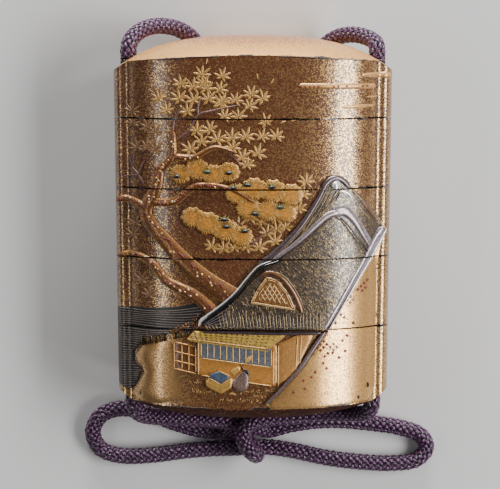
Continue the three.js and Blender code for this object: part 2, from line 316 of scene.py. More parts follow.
# Case walls. Each section is thin wood, turned and carved, then built up in many coats of
# lacquer: an outer wall, a floor, a recess below for the next lip, and a thin lip above.
# The cord's runners are rounded ridges along both sides, bored from end to end.
half_width = 29.2
half_depth = 12.5
wall_height = 73.4
lid_dome = 4.0
base_dome = 3.2
base_edge = (base_dome - lid_dome - wall_height) / 2
lid_edge = base_edge + wall_height
base_taper = 0.031
seam_gap = 0.3
seams = [base_edge + height for height in (60.3, 45.8, 31.4, 16.7)]
lens_reach = 27.5
ridge_start = 27.0
ridge_depth = 4.6
bore_x = 26.0
bore_radius = 2.2
bore_end = 45.0
bore_sides = 40
around = 320
rim_band = 0.9
crease = math.radians(24)


def lens_depth(x, reach, depth, power):
    return depth * math.sqrt(max(0.0, 1 - (abs(x) / reach) ** power))


def case_depth(x, lift=0.0):
    """Depth of the section at a place across it, with the relief's lift, before the taper."""
    lens = lens_depth(x, lens_reach + lift, half_depth + lift, 2.6)
    along = max(0.0, abs(x) - ridge_start) / (half_width + lift - ridge_start)
    ridge = (ridge_depth + lift) * max(0.0, 1 - along ** 2.5) ** 0.4
    return (lens + ridge + math.hypot(lens - ridge, 0.8 * min(1.0, ridge))) / 2


def case_loop():
    """The case's section as points round it, from the middle of the front."""
    loop = []
    for i in range(around):
        angle = math.tau * i / around
        x = half_width * math.sin(angle)
        depth = case_depth(x)
        loop.append((x, depth if math.cos(angle) >= 0 else max(-depth, -back_flat)))
    return loop


def inner_loop(reach, depth):
    """A plain lens section with the same number of points, for lips and hollows."""
    loop = []
    for i in range(around):
        angle = math.tau * i / around
        x = reach * math.sin(angle)
        z = lens_depth(x, reach, depth, 3.2)
        loop.append((x, z if math.cos(angle) >= 0 else -z))
    return loop


def edge_drop(x, arch, cut):
    """How far a rim falls below its middle: a shallow arch, with cut corners at the runners."""
    over = max(0.0, abs(x) - bore_x) / (half_width - bore_x)
    return arch * (x / half_width) ** 2 + cut * min(1.0, over)


def lid_top(x, scale):
    return lid_edge - edge_drop(x, 1.7, 1.6) * scale ** 4.5 + lid_dome * (1 - scale ** 2.2)


def base_bottom(x, scale):
    return base_edge + edge_drop(x, 1.2, 2.2) * scale ** 4.5 - base_dome * (1 - scale ** 2.2)


def taper_at(y):
    """How much of its full width the case keeps at a height: it narrows to the base."""
    return 1 - base_taper * (lid_edge - y) / wall_height


outer = case_loop()
lip_outside = inner_loop(22.8, 10.6)
lip_inside = inner_loop(22.0, 9.8)
recess_loop = inner_loop(23.1, 10.9)
lip_height = 4.5
floor_thick = 1.3
dome_scales = (1.0, 0.995, 0.985, 0.97, 0.94, 0.9, 0.85, 0.78, 0.7, 0.6, 0.48, 0.34, 0.18)
rim_steps = (0.0, 0.1, 0.25, 0.5, 1.0)
wall_steps = 12


def level(loop, y):
    """A section as a flat ring at one height."""
    return [(x, y, z) for x, z in loop]


def domed(loop, height_at):
    """Rings of a dome over a section, from its edge in towards the middle."""
    return [[(x * s, height_at(x, s), z * s) for x, z in loop] for s in dome_scales]


def wall_rings(low, high):
    """Rings of the outer wall, closer together at both rims. Each end is a function of x."""
    rings = []
    for step in rim_steps:
        rings.append([(x, low(x) + step, z) for x, z in outer])
    for k in range(1, wall_steps):
        share = k / wall_steps
        rings.append([(x, (low(x) + 1) * (1 - share) + (high(x) - 1) * share, z) for x, z in outer])
    for step in reversed(rim_steps):
        rings.append([(x, high(x) - step, z) for x, z in outer])
    return rings


def finished(name, bm):
    """An object of a mesh that is built up face by face."""
    mesh = bpy.data.meshes.new(name)
    bm.to_mesh(mesh)
    bm.free()
    return in_scene(name, mesh)


def skinned(name, rings, rims):
    """One closed mesh through a row of rings, with its first and last ring closed."""
    bm = bmesh.new()
    wear_and_shade = bm.verts.layers.float.new("rim")
    loops = []
    for ring in rings:
        loop = []
        for x, y, z in ring:
            vertex = bm.verts.new(at(x * taper_at(y), y, z))
            near = min(abs(y - rim(x)) for rim in rims)
            vertex[wear_and_shade] = max(0.0, 1 - near / rim_band)
            loop.append(vertex)
        loops.append(loop)
    for lower, upper in zip(loops, loops[1:]):
        for i in range(around):
            j = (i + 1) % around
            bm.faces.new((lower[i], upper[i], upper[j], lower[j]))
    for loop, turned in ((loops[0], False), (loops[-1], True)):
        middle = sum((v.co for v in loop), Vector()) / around
        hub = bm.verts.new(middle)
        for i in range(around):
            a, b = loop[i], loop[(i + 1) % around]
            bm.faces.new((a, hub, b) if turned else (b, hub, a))
    bmesh.ops.recalc_face_normals(bm, faces=bm.faces)
    for face in bm.faces:
        face.smooth = True
    for edge in bm.edges:
        edge.smooth = edge.calc_face_angle(0) < crease
    return finished(name, bm)


def cut_by(piece, cutters):
    """Cuts closed shapes out of a piece and keeps the result as its plain mesh."""
    for cutter in cutters:
        cut = piece.modifiers.new("cut", "BOOLEAN")
        cut.operation = "DIFFERENCE"
        cut.solver = "EXACT"
        cut.object = cutter
    result = piece.evaluated_get(bpy.context.evaluated_depsgraph_get())
    mesh = bpy.data.meshes.new_from_object(result)
    piece.modifiers.clear()
    old = piece.data
    piece.data = mesh
    bpy.data.meshes.remove(old)


bores = []
for side in (-1, 1):
    bm = bmesh.new()
    rims = []
    for end in (-bore_end, bore_end):
        rim = []
        for k in range(bore_sides):
            turn = math.tau * k / bore_sides
            x = (side * bore_x + bore_radius * math.cos(turn)) * taper_at(end)
            rim.append(bm.verts.new(at(x, end, bore_radius * math.sin(turn))))
        rims.append(rim)
    for k in range(bore_sides):
        j = (k + 1) % bore_sides
        bm.faces.new((rims[0][k], rims[1][k], rims[1][j], rims[0][j]))
    bm.faces.new(rims[0])
    bm.faces.new(rims[1])
    bmesh.ops.recalc_face_normals(bm, faces=bm.faces)
    bores.append(finished("bore", bm))


def flat_at(y):
    return lambda x: y


def lid_rim(x):
    return lid_top(x, 1.0)


def base_rim(x):
    return base_bottom(x, 1.0)


half_gap = seam_gap / 2
edge_thick = 0.6
dome_hollow = 1.6
sections = {}
low = seams[0] + half_gap
ceiling = lid_edge - edge_thick
under_dome = inner_loop(17.6, 7.6)
rings = [level(under_dome, ceiling + dome_hollow), level(under_dome, ceiling)]
rings += [level(recess_loop, ceiling), level(recess_loop, low)]
rings += wall_rings(flat_at(low), lid_rim)
rings += domed(outer, lid_top)[1:]
sections["lid"] = skinned("lid_lacquer", rings, [flat_at(low), lid_rim])
for number in range(1, 4):
    low = seams[number] + half_gap
    high = seams[number - 1] - half_gap
    recess_top = low + lip_height + 0.3
    rings = [level(recess_loop, recess_top), level(recess_loop, low)]
    rings += wall_rings(flat_at(low), flat_at(high))
    rings += [level(lip_outside, high), level(lip_outside, high + lip_height)]
    rings += [level(lip_inside, high + lip_height), level(lip_inside, recess_top + floor_thick)]
    sections[f"case_{number}"] = skinned(f"case_{number}_lacquer", rings, [flat_at(low), flat_at(high)])
high = seams[3] - half_gap
rings = list(reversed(domed(outer, base_bottom)))[:-1]
rings += wall_rings(base_rim, flat_at(high))
rings += [level(lip_outside, high), level(lip_outside, high + lip_height)]
rings += [level(lip_inside, high + lip_height), level(lip_inside, base_edge + edge_thick)]
sections["case_4"] = skinned("case_4_lacquer", rings, [base_rim, flat_at(high)])
for piece in sections.values():
    cut_by(piece, bores)
for bore in bores:
    bpy.data.objects.remove(bore)
# A chip is missing from the right ridge, just above the second seam
chip_radius = 1.1
bm = bmesh.new()
bmesh.ops.create_icosphere(bm, subdivisions=3, radius=chip_radius * MM)
chip = finished("chip", bm)
chip.location = at((half_width + 0.5) * taper_at(seams[1]), seams[1] + 0.3, 1.2)
bpy.context.view_layer.update()
cut_by(sections["case_1"], [chip])
bpy.data.objects.remove(chip)

# Lacquer ground. Red-brown lacquer is sprinkled with fine gold powder while it is wet,
# thickly on the foot and thinly in the middle, then coated clear and polished. More powder
# to the right and at the dome's edge is painted highlight. Handling has worn the rims back
# to dark lacquer, and the same darkening at the lid's edge is painted shade.


def new_group(name, inputs, outputs):
    """An empty shader node group with its named inputs and outputs."""
    group = bpy.data.node_groups.new(name, "ShaderNodeTree")
    for socket, kind, value in inputs:
        made = group.interface.new_socket(socket, in_out="INPUT", socket_type=kind)
        if value is not None:
            made.default_value = value
    for socket, kind in outputs:
        group.interface.new_socket(socket, in_out="OUTPUT", socket_type=kind)
    return group, group.nodes.new("NodeGroupInput"), group.nodes.new("NodeGroupOutput")


def ramp(tree, value, low, high):
    """Turns a value into 0 below low and 1 above high."""
    node = tree.nodes.new("ShaderNodeMapRange")
    node.inputs["From Min"].default_value = low
    node.inputs["From Max"].default_value = high
    tree.links.new(value, node.inputs["Value"])
    return node.outputs["Result"]


def mixed(tree, share, a, b):
    """Mixes two colours, each a socket or a plain colour."""
    node = tree.nodes.new("ShaderNodeMix")
    node.data_type = "RGBA"
    tree.links.new(share, node.inputs["Factor"])
    for slot, value in ((6, a), (7, b)):
        if isinstance(value, tuple):
            node.inputs[slot].default_value = value
        else:
            tree.links.new(value, node.inputs[slot])
    return node.outputs[2]


# Gold powder: small grains, each with its own tone, more of them where the density is higher
powder, entry, result = new_group(
    "gold_powder",
    [("Density", "NodeSocketFloat", 0.5), ("Grain", "NodeSocketFloat", 5400.0)],
    [("Mask", "NodeSocketFloat"), ("Tone", "NodeSocketFloat"), ("Height", "NodeSocketFloat")],
)
place = powder.nodes.new("ShaderNodeTexCoord")
grains = powder.nodes.new("ShaderNodeTexVoronoi")
powder.links.new(place.outputs["Object"], grains.inputs["Vector"])
powder.links.new(entry.outputs["Grain"], grains.inputs["Scale"])
chances = powder.nodes.new("ShaderNodeSeparateColor")
powder.links.new(grains.outputs["Color"], chances.inputs["Color"])
over = maths(powder, "SUBTRACT", entry.outputs["Density"], chances.outputs["Red"])
mask = maths(powder, "MULTIPLY_ADD", over, 8.0, 0.5, clamp=True)
powder.links.new(mask, result.inputs["Mask"])
powder.links.new(chances.outputs["Green"], result.inputs["Tone"])
powder.links.new(grains.outputs["Distance"], result.inputs["Height"])

# Worn rims, with painted shade at the lid's edge: a mask from the rim attribute, broken up by noise
rim_wear_and_shade, entry, result = new_group(
    "rim_wear_and_shade",
    [("Amount", "NodeSocketFloat", 0.5)],
    [("Mask", "NodeSocketFloat")],
)
nearness = rim_wear_and_shade.nodes.new("ShaderNodeAttribute")
nearness.attribute_name = "rim"
patches = speckle(rim_wear_and_shade, 420, 4.0, 0.65)
broken = maths(rim_wear_and_shade, "MULTIPLY_ADD", patches, 2.4, -1.65)
reach = maths(rim_wear_and_shade, "ADD", nearness.outputs["Fac"], broken)
reach = maths(rim_wear_and_shade, "ADD", reach, entry.outputs["Amount"])
rim_wear_and_shade.links.new(ramp(rim_wear_and_shade, reach, 0.75, 0.95), result.inputs["Mask"])

gold_pale = (0.70, 0.46, 0.18, 1)
lacquer_red = (0.086, 0.026, 0.011, 1)
lacquer_dark = (0.020, 0.008, 0.005, 1)


def placed_group(tree, group, **values):
    """A shader group placed in a material, with its own values."""
    node = tree.nodes.new("ShaderNodeGroup")
    node.node_tree = group
    for name, value in values.items():
        if isinstance(value, (int, float)):
            node.inputs[name].default_value = value
        else:
            tree.links.new(value, node.inputs[name])
    return node


def lacquer_material(name, bare=lacquer_red, gold=gold_pale, density=0.5, spread=None, rim_darkening=0.3,
                     roughness=0.27, grain=5400.0, coat=0.45, specular=0.5, metal=0.9):
    """Powdered lacquer under a clear coat. spread makes the powder's density vary in place."""
    material, tree, shader = new_material(name)
    shader.inputs["Specular IOR Level"].default_value = specular
    shader.inputs["Coat Weight"].default_value = coat
    shader.inputs["Coat Roughness"].default_value = 0.13
    amount = spread(tree) if spread else density
    grains = placed_group(tree, powder, Density=amount, Grain=grain)
    rusty = (0.66 * gold[0], 0.54 * gold[1], 0.46 * gold[2], 1)
    golden = mixed(tree, grains.outputs["Tone"], gold, rusty)
    colour = mixed(tree, grains.outputs["Mask"], bare, golden)
    # Dark lacquer at the rims: wear, and at the lid's edge painted shade
    wear_and_shade = placed_group(tree, rim_wear_and_shade, Amount=rim_darkening)
    colour = mixed(tree, wear_and_shade.outputs["Mask"], colour, lacquer_dark)
    tree.links.new(colour, shader.inputs["Base Color"])
    outside_wear_and_shade = maths(tree, "SUBTRACT", 1.0, wear_and_shade.outputs["Mask"])
    metallic = maths(tree, "MULTIPLY", grains.outputs["Mask"], outside_wear_and_shade)
    metallic = maths(tree, "MULTIPLY", metallic, metal)
    tree.links.new(metallic, shader.inputs["Metallic"])
    shine = maths(tree, "MULTIPLY_ADD", grains.outputs["Tone"], 0.16, roughness - 0.08)
    tree.links.new(shine, shader.inputs["Roughness"])
    bumped(tree, shader, grains.outputs["Height"], 0.2, 0.00004, invert=True)
    return material


def place_on_case(tree):
    """The place on the case in metres, as X, Y and Z outputs."""
    place = tree.nodes.new("ShaderNodeTexCoord")
    parts = tree.nodes.new("ShaderNodeSeparateXYZ")
    tree.links.new(place.outputs["Object"], parts.inputs["Vector"])
    return parts.outputs


def ground_spread_and_highlight(tree):
    """Powder density over the case: thickest at the foot, and thicker to the right as painted highlight
    where the right lamp's band falls.
    """
    parts = place_on_case(tree)
    # Painted highlight: the powder thickens to the right, under the right lamp's band
    right = ramp(tree, parts["X"], -0.004, 0.022)
    left = ramp(tree, maths(tree, "MULTIPLY", parts["X"], -1.0), 0.012, 0.027)
    low = ramp(tree, maths(tree, "MULTIPLY", parts["Y"], -1.0), 0.0, 0.036)
    clouds = ramp(tree, speckle(tree, 90, 2.0), 0.3, 0.7)
    sideways = ramp(tree, maths(tree, "ABSOLUTE", parts["X"]), 0.006, 0.014)
    low = maths(tree, "MULTIPLY", low, maths(tree, "MULTIPLY_ADD", sideways, 0.75, 0.25))
    amount = maths(tree, "MULTIPLY_ADD", right, 0.21, 0.15)
    amount = maths(tree, "MULTIPLY_ADD", left, 0.03, amount)
    amount = maths(tree, "MULTIPLY_ADD", low, 0.3, amount)
    return maths(tree, "MULTIPLY_ADD", clouds, 0.14, amount)


def dome_highlight_spread(tree):
    """Powder density over the lid's dome: thick near its edge as a painted highlight band, thin towards its
    darker top.
    """
    parts = place_on_case(tree)
    # Painted highlight: dense gold up to 1.8 mm above the lid's edge, thinning out by 3.5 mm
    high = ramp(tree, parts["Y"], (lid_edge + 1.8) * MM, (lid_edge + 3.5) * MM)
    return maths(tree, "MULTIPLY_ADD", high, -0.7, 0.96)


ground = lacquer_material("gold_powdered_lacquer", spread=ground_spread_and_highlight)
# Painted shade: the base's underside is darkened and its gloss nearly taken away
shaded_base = lacquer_material("red_brown_base_painted_shade", density=0.0, rim_darkening=0.0, roughness=0.6, coat=0.0,
                             bare=(0.040, 0.008, 0.004, 1), specular=0.03)
gold_dome = lacquer_material("gold_dome", bare=(0.24, 0.070, 0.026, 1), gold=(0.84, 0.46, 0.13, 1),
                             spread=dome_highlight_spread, roughness=0.36, coat=0.3, metal=0.5)
# The base's underside is dark red-brown lacquer without gold and almost without gloss, a painted shade
# where it faces away from the light; the lid's dome is thick with gold, most of all near its edge as
# painted highlight
base_slot = 1
dome_slot = 2
for name, piece in sections.items():
    piece.data.materials.clear()
    for material in (ground, shaded_base, gold_dome):
        piece.data.materials.append(material)
    for face in piece.data.polygons:
        y = face.center.y / MM
        x = face.center.x / MM / taper_at(y)
        if y < base_rim(x):
            face.material_index = base_slot
        elif y > lid_rim(x) + 0.01:
            face.material_index = dome_slot
    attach(piece, "root")
    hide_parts(name)

# Pictures. Everything drawn on the front is raised lacquer: shapes built up in layers of
# lacquer and dust, drawn lines and dots, all sprinkled with metal powder. Each picture
# runs over the seams, so it is cut there and each part stays on its own section.


def lifted(x, y, lift):
    """The point of the front at (x, y), raised by lift. The case narrows to its base."""
    return at(x * taper_at(y), y, case_depth(x, lift))


def new_sheet():
    """An empty picture, filled shape by shape."""
    return {"points": [], "faces": [], "looks": []}


def add_mesh(sheet, look, points, faces):
    first = len(sheet["points"])
    sheet["points"] += points
    sheet["faces"] += [[first + k for k in face] for face in faces]
    sheet["looks"] += [look] * len(faces)


buried = -0.12
stroke_profile = ((-1.0, None), (-0.8, 0.8), (0.0, 1.0), (0.8, 0.8), (1.0, None))
line_profile = ((-1.0, None), (0.0, 1.0), (1.0, None))


def stroke(sheet, look, route, width, lift=0.0, height=0.12, ends=0.2, step=0.5, fine=False):
    """A raised line on the front along a smooth route. width is a number, or one for each end,
    and ends is the share of its length over which each end narrows to a point."""
    points = smooth_route([Vector((x, y, 0)) for x, y in route], step)
    widths = width if isinstance(width, tuple) else (width, width)
    profile = line_profile if fine else stroke_profile
    count = len(points) - 1
    made, faces = [], []
    for i, point in enumerate(points):
        along = (points[min(i + 1, count)] - points[max(i - 1, 0)]).normalized()
        share = i / count
        narrowing = min(1.0, min(share, 1 - share) / ends) if ends else 1.0
        half = (widths[0] * (1 - share) + widths[1] * share) / 2 * (0.12 + 0.88 * math.sqrt(narrowing))
        for offset, rise in profile:
            x = point.x - along.y * half * offset
            y = point.y + along.x * half * offset
            made.append(lifted(x, y, lift + (buried if rise is None else height * rise)))
    columns = len(profile)
    for i in range(count):
        for k in range(columns - 1):
            a = i * columns + k
            faces.append((a, a + columns, a + columns + 1, a + 1))
    add_mesh(sheet, look, made, faces)


def between(a, b, share):
    """The point that lies a share of the way from a to b."""
    return (a[0] + (b[0] - a[0]) * share, a[1] + (b[1] - a[1]) * share)


def dot(sheet, look, x, y, radius, lift=0.0, height=0.12, sides=8):
    """A small raised dot, round or with a few corners."""
    points = [lifted(x, y, lift + height)]
    for reach, rise in ((0.65, height * 0.75), (1.0, buried)):
        for k in range(sides):
            turn = math.tau * k / sides
            points.append(lifted(x + radius * reach * math.cos(turn),
                                 y + radius * reach * math.sin(turn), lift + rise))
    faces = []
    for k in range(sides):
        j = (k + 1) % sides
        faces.append((0, 1 + k, 1 + j))
        faces.append((1 + k, 1 + sides + k, 1 + sides + j, 1 + j))
    add_mesh(sheet, look, points, faces)


def is_inside(x, y, outline):
    """Whether a place lies within an outline."""
    inside = False
    for (ax, ay), (bx, by) in zip(outline, outline[1:] + outline[:1]):
        if (ay > y) != (by > y) and x < ax + (bx - ax) * (y - ay) / (by - ay):
            inside = not inside
    return inside


def edge_distance(x, y, outline):
    """How far a place is from the nearest side of an outline."""
    nearest = 1000.0
    for (ax, ay), (bx, by) in zip(outline, outline[1:] + outline[:1]):
        dx, dy = bx - ax, by - ay
        share = ((x - ax) * dx + (y - ay) * dy) / (dx * dx + dy * dy)
        share = max(0.0, min(1.0, share))
        nearest = min(nearest, math.hypot(x - ax - dx * share, y - ay - dy * share))
    return nearest


def patch(sheet, look, outline, lift, base=0.0, edge=0.4, step=0.7, rounded=False, form=None,
          soft=False):
    """A raised shape with a rounded edge. form adds to its height from place and distance."""
    corners = [Vector((x, y, 0)) for x, y in outline]
    if rounded:
        rim = [(p.x, p.y) for p in smooth_route(corners + corners[:1], step)[:-1]]
    else:
        rim = []
        for a, b in zip(corners, corners[1:] + corners[:1]):
            parts = max(1, round((b - a).length / step))
            rim += [tuple(a.lerp(b, k / parts).xy) for k in range(parts)]
    area = sum(a[0] * b[1] - a[1] * b[0] for a, b in zip(rim, rim[1:] + rim[:1]))
    inwards = 1 if area > 0 else -1
    places = list(rim)
    for inset in (0.15 * edge, 0.5 * edge, edge):
        for i, (x, y) in enumerate(rim):
            ahead = rim[(i + 1) % len(rim)]
            behind = rim[i - 1]
            along = Vector((ahead[0] - behind[0], ahead[1] - behind[1])).normalized()
            place = (x - along.y * inset * inwards, y + along.x * inset * inwards)
            if is_inside(*place, rim) and edge_distance(*place, rim) > 0.85 * inset:
                places.append(place)
    low_x, high_x = min(x for x, y in rim), max(x for x, y in rim)
    low_y, high_y = min(y for x, y in rim), max(y for x, y in rim)
    row = 0
    y = low_y
    while y < high_y:
        x = low_x + (step / 2 if row % 2 else 0)
        while x < high_x:
            if is_inside(x, y, rim) and edge_distance(x, y, rim) > edge + 0.4 * step:
                places.append((x, y))
            x += step
        y += step * 0.87
        row += 1
    flat = [Vector(place) for place in places]
    found = delaunay_2d_cdt(flat, [], [list(range(len(rim)))], 1, 1e-5)
    points, faces = [], []
    for place in found[0]:
        distance = edge_distance(place.x, place.y, rim)
        away = max(0.0, 1 - distance / edge)
        full = (1 - away) ** 2 * (1 + 2 * away) if soft else math.sqrt(max(0.0, 1 - away * away))
        rise = base + (lift - base) * full
        if form:
            rise += form(place.x, place.y, distance)
        points.append(lifted(place.x, place.y, rise if distance > 1e-3 else base + buried))
    for face in found[2]:
        a, b, c = (found[0][k] for k in face)
        turned = (b - a).cross(c - a) < 0
        faces.append(tuple(reversed(face)) if turned else tuple(face))
    add_mesh(sheet, look, points, faces)


section_spans = {"lid": (seams[0] + half_gap, lid_edge + lid_dome)}
for number in range(1, 4):
    section_spans[f"case_{number}"] = (seams[number] + half_gap, seams[number - 1] - half_gap)
section_spans["case_4"] = (base_edge - base_dome, seams[3] - half_gap)


def lay_sheet(name, sheet, materials):
    """Cuts a picture at the seams and fixes each part to the case."""
    looks = list(materials)
    mesh = bpy.data.meshes.new(name)
    mesh.from_pydata(sheet["points"], [], sheet["faces"])
    mesh.polygons.foreach_set("material_index", [looks.index(look) for look in sheet["looks"]])
    for section, (low, high) in section_spans.items():
        bm = bmesh.new()
        bm.from_mesh(mesh)
        for edge, outwards in ((low, -1), (high, 1)):
            geometry = bm.verts[:] + bm.edges[:] + bm.faces[:]
            bmesh.ops.bisect_plane(bm, geom=geometry, dist=1e-7, plane_co=(0, edge * MM, 0),
                                   plane_no=(0, outwards, 0), clear_outer=True)
        if not bm.faces:
            bm.free()
            continue
        piece = finished(f"{name}_on_{section}", bm)
        piece.data.shade_smooth()
        for look in looks:
            piece.data.materials.append(materials[look])
        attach(piece, "root")
    bpy.data.meshes.remove(mesh)


# Finishes that several colours share, each as metallic, roughness and coat
satin = (0.3, 0.42, 0.25)
matt_pigment = (0.0, 0.6, 0.05)


def drawn_material(name, colour, metallic=0.6, roughness=0.35, coat=0.6, variation=0.25):
    """Lacquer drawn with one kind of powder or pigment, a little uneven."""
    material, tree, shader = new_material(name)
    shader.inputs["Metallic"].default_value = metallic
    shader.inputs["Roughness"].default_value = roughness
    shader.inputs["Coat Weight"].default_value = coat
    shader.inputs["Coat Roughness"].default_value = 0.15
    grains = placed_group(tree, powder, Density=0.5, Grain=5200.0)
    darker = tuple(c * (1 - variation) for c in colour) + (1,)
    lighter = tuple(min(1.0, c * (1 + variation)) for c in colour) + (1,)
    tree.links.new(mixed(tree, grains.outputs["Mask"], darker, lighter), shader.inputs["Base Color"])
    bumped(tree, shader, grains.outputs["Height"], 0.15, 0.00003, invert=True)
    return material


# Trees. A trunk leans in from behind the roof and forks to the left edge. Its bark is
# orange gold with red and pale dots. Fan-shaped leaves of tan gold hang in rows, and
# round clumps of pine in orange gold, with dark tufts, stand between them.
rng = random.Random(7)
trees = new_sheet()
# Trunk and limbs, with the widths at both ends of each
trunk_height = 0.62
trunk_routes = (
    ([(-2.2, -14.8), (-10.5, -9.6), (-17.6, -3.0), (-22.6, 3.6), (-20.4, 8.6), (-19.4, 13.4)],
     (4.6, 2.2)),
    ([(-20.0, 12.2), (-16.9, 15.4), (-16.6, 18.6), (-16.7, 21.0)], (1.9, 1.1)),
    ([(-21.4, 6.0), (-16.6, 6.2), (-11.8, 9.4), (-5.2, 9.0), (0.4, 6.0)], (1.9, 0.7)),
    ([(-6.8, -18.0), (-12.4, -13.2), (-18.2, -10.4), (-22.0, -6.4), (-26.4, -5.2), (-28.8, -5.8)],
     (3.0, 1.2)),
    ([(-16.6, 15.4), (-12.2, 15.4), (-8.0, 17.4), (-3.6, 16.4)], (1.4, 0.5)),
    ([(-22.4, 4.4), (-25.0, 5.8), (-27.2, 6.4), (-29.0, 5.8)], (2.0, 1.2)),
)
for route, widths in trunk_routes:
    stroke(trees, "bark", route, widths, 0.0, trunk_height, ends=0.04, step=0.5)
    line = smooth_route([Vector((x, y, 0)) for x, y in route], 0.5)
    for side in (-1, 1):
        edge_line = []
        for i in range(0, len(line) - 1, 2):
            share = i / (len(line) - 1)
            along = (line[i + 1] - line[i]).normalized()
            half = (widths[0] * (1 - share) + widths[1] * share) / 2 * 0.88 * side
            edge_line.append((line[i].x - along.y * half, line[i].y + along.x * half))
        stroke(trees, "leaf", edge_line, 0.22, 0.22, 0.14, ends=0.1, fine=True)
    for i in range(2, len(line) - 2):
        share = i / (len(line) - 1)
        half = (widths[0] * (1 - share) + widths[1] * share) / 2
        if half > 0.5 and rng.random() < 0.75:
            along = (line[i + 1] - line[i]).normalized()
            place = rng.uniform(-0.55, 0.55) * half
            x, y = line[i].x - along.y * place, line[i].y + along.x * place
            dot(trees, rng.choice(("red", "red", "pale")), x, y, rng.uniform(0.22, 0.36), 0.59, 0.14)

# Twigs
branch_routes = (
    [(-16.7, 20.2), (-16.4, 22.8), (-15.4, 24.6), (-14.0, 26.2)],
    [(-15.9, 18.9), (-13.7, 20.4), (-12.3, 22.5), (-11.4, 24.0), (-7.6, 25.1), (-2.5, 26.2)],
    [(-11.4, 24.0), (-11.4, 25.7), (-10.7, 27.8)], [(-5.3, 16.1), (-3.6, 15.0), (-2.5, 13.5)],
    [(-22.9, 9.5), (-24.0, 11.3), (-25.4, 13.1), (-26.1, 16.0)],
    [(-24.0, 11.3), (-23.1, 13.7), (-22.5, 14.6)], [(-24.0, 11.3), (-25.6, 11.2), (-27.4, 10.9)],
    [(-3.8, 2.6), (-1.1, 0.0), (0.2, -2.9)], [(-0.6, -2.9), (1.9, -0.8), (4.7, 0.9)],
)
for route in branch_routes:
    stroke(trees, "twig", route, (0.7, 0.35), 0.0, 0.16, ends=0.1)

# Leaves, as rows from one place to another with a count
leaf_rows = (
    (-10.5, 32.9, -6.5, 32.3, 2), (-14.9, 30.5, -6.7, 29.6, 4), (-0.2, 28.9, 2.3, 27.9, 2),
    (-15.0, 27.8, -3.6, 27.3, 5), (-7.0, 26.4, -0.8, 26.4, 2), (-13.5, 25.1, -13.5, 25.1, 1),
    (-5.7, 23.9, -3.0, 24.3, 2), (-19.6, 27.6, -17.9, 25.1, 2), (-11.6, 20.9, -8.7, 21.3, 2),
    (2.7, 22.8, 2.7, 22.8, 1), (-7.6, 19.4, 4.7, 20.1, 5), (-12.9, 17.3, -10.8, 18.6, 2),
    (-4.2, 17.3, -4.2, 17.3, 1), (-2.3, 15.7, 0.8, 16.1, 2), (-1.1, 13.8, -1.1, 13.8, 1),
    (-3.2, 1.1, -0.6, 2.8, 2), (1.9, 1.7, 7.9, 4.0, 3), (2.8, -0.2, 6.9, 0.9, 3),
    (4.6, -2.0, 4.6, -2.0, 1), (9.6, 4.9, 9.6, 4.9, 1), (11.0, 10.1, 10.6, 7.8, 2),
    (-8.8, -3.6, 1.2, -3.5, 5), (-10.2, 31.2, -8.6, 30.9, 1),
)
faint_rows = (
    (-25.1, 22.4, -25.3, 24.9, 2), (-22.0, 21.6, -20.1, 20.6, 2), (-24.1, 17.6, -20.3, 17.0, 3),
    (-20.0, 28.4, -20.0, 28.4, 1), (-23.6, -10.8, -22.1, -13.9, 2), (-25.6, -1.6, -25.0, 1.2, 2),
)
leaf_drop = 0.98
lobe_turns = (90, 48, 132, 8, 172, -36, -144)
lobe_lengths = (2.3, 2.15, 2.15, 1.9, 1.9, 1.3, 1.3)


def leaf(look, x, y, size, turn, height):
    """Seven slender lobes that spread from one point."""
    for degrees, length in zip(lobe_turns, lobe_lengths):
        angle = math.radians(degrees + turn + rng.uniform(-5, 5))
        reach = length * size * rng.uniform(0.9, 1.08)
        route = [(x + math.cos(angle) * reach * share, y + math.sin(angle) * reach * share)
                 for share in (0.04, 0.5, 1.0)]
        stroke(trees, look, route, 0.68 * size, 0.0, height, ends=0.5, step=0.3)


for look, rows, height in (("leaf", leaf_rows, 0.15), ("faint", faint_rows, 0.08)):
    for from_x, from_y, to_x, to_y, count in rows:
        for i in range(count):
            share = i / (count - 1) if count > 1 else 0
            x = from_x + (to_x - from_x) * share + rng.uniform(-0.2, 0.2)
            y = (from_y + (to_y - from_y) * share) * leaf_drop + rng.uniform(-0.25, 0.25)
            leaf(look, x, y, rng.uniform(0.92, 1.08), rng.uniform(-22, 22), height)
lone_lobes = ((5.6, 22.4, 20), (7.9, 22.8, 15), (-9.6, 34.4, 80), (1.0, 31.4, 100), (3.6, 30.4, 60))
for x, y, turn in lone_lobes:
    angle = math.radians(turn)
    route = [(x + math.cos(angle) * reach, y + math.sin(angle) * reach) for reach in (0, 0.6, 1.3)]
    stroke(trees, "leaf", route, 0.45, 0.0, 0.16, ends=0.5)

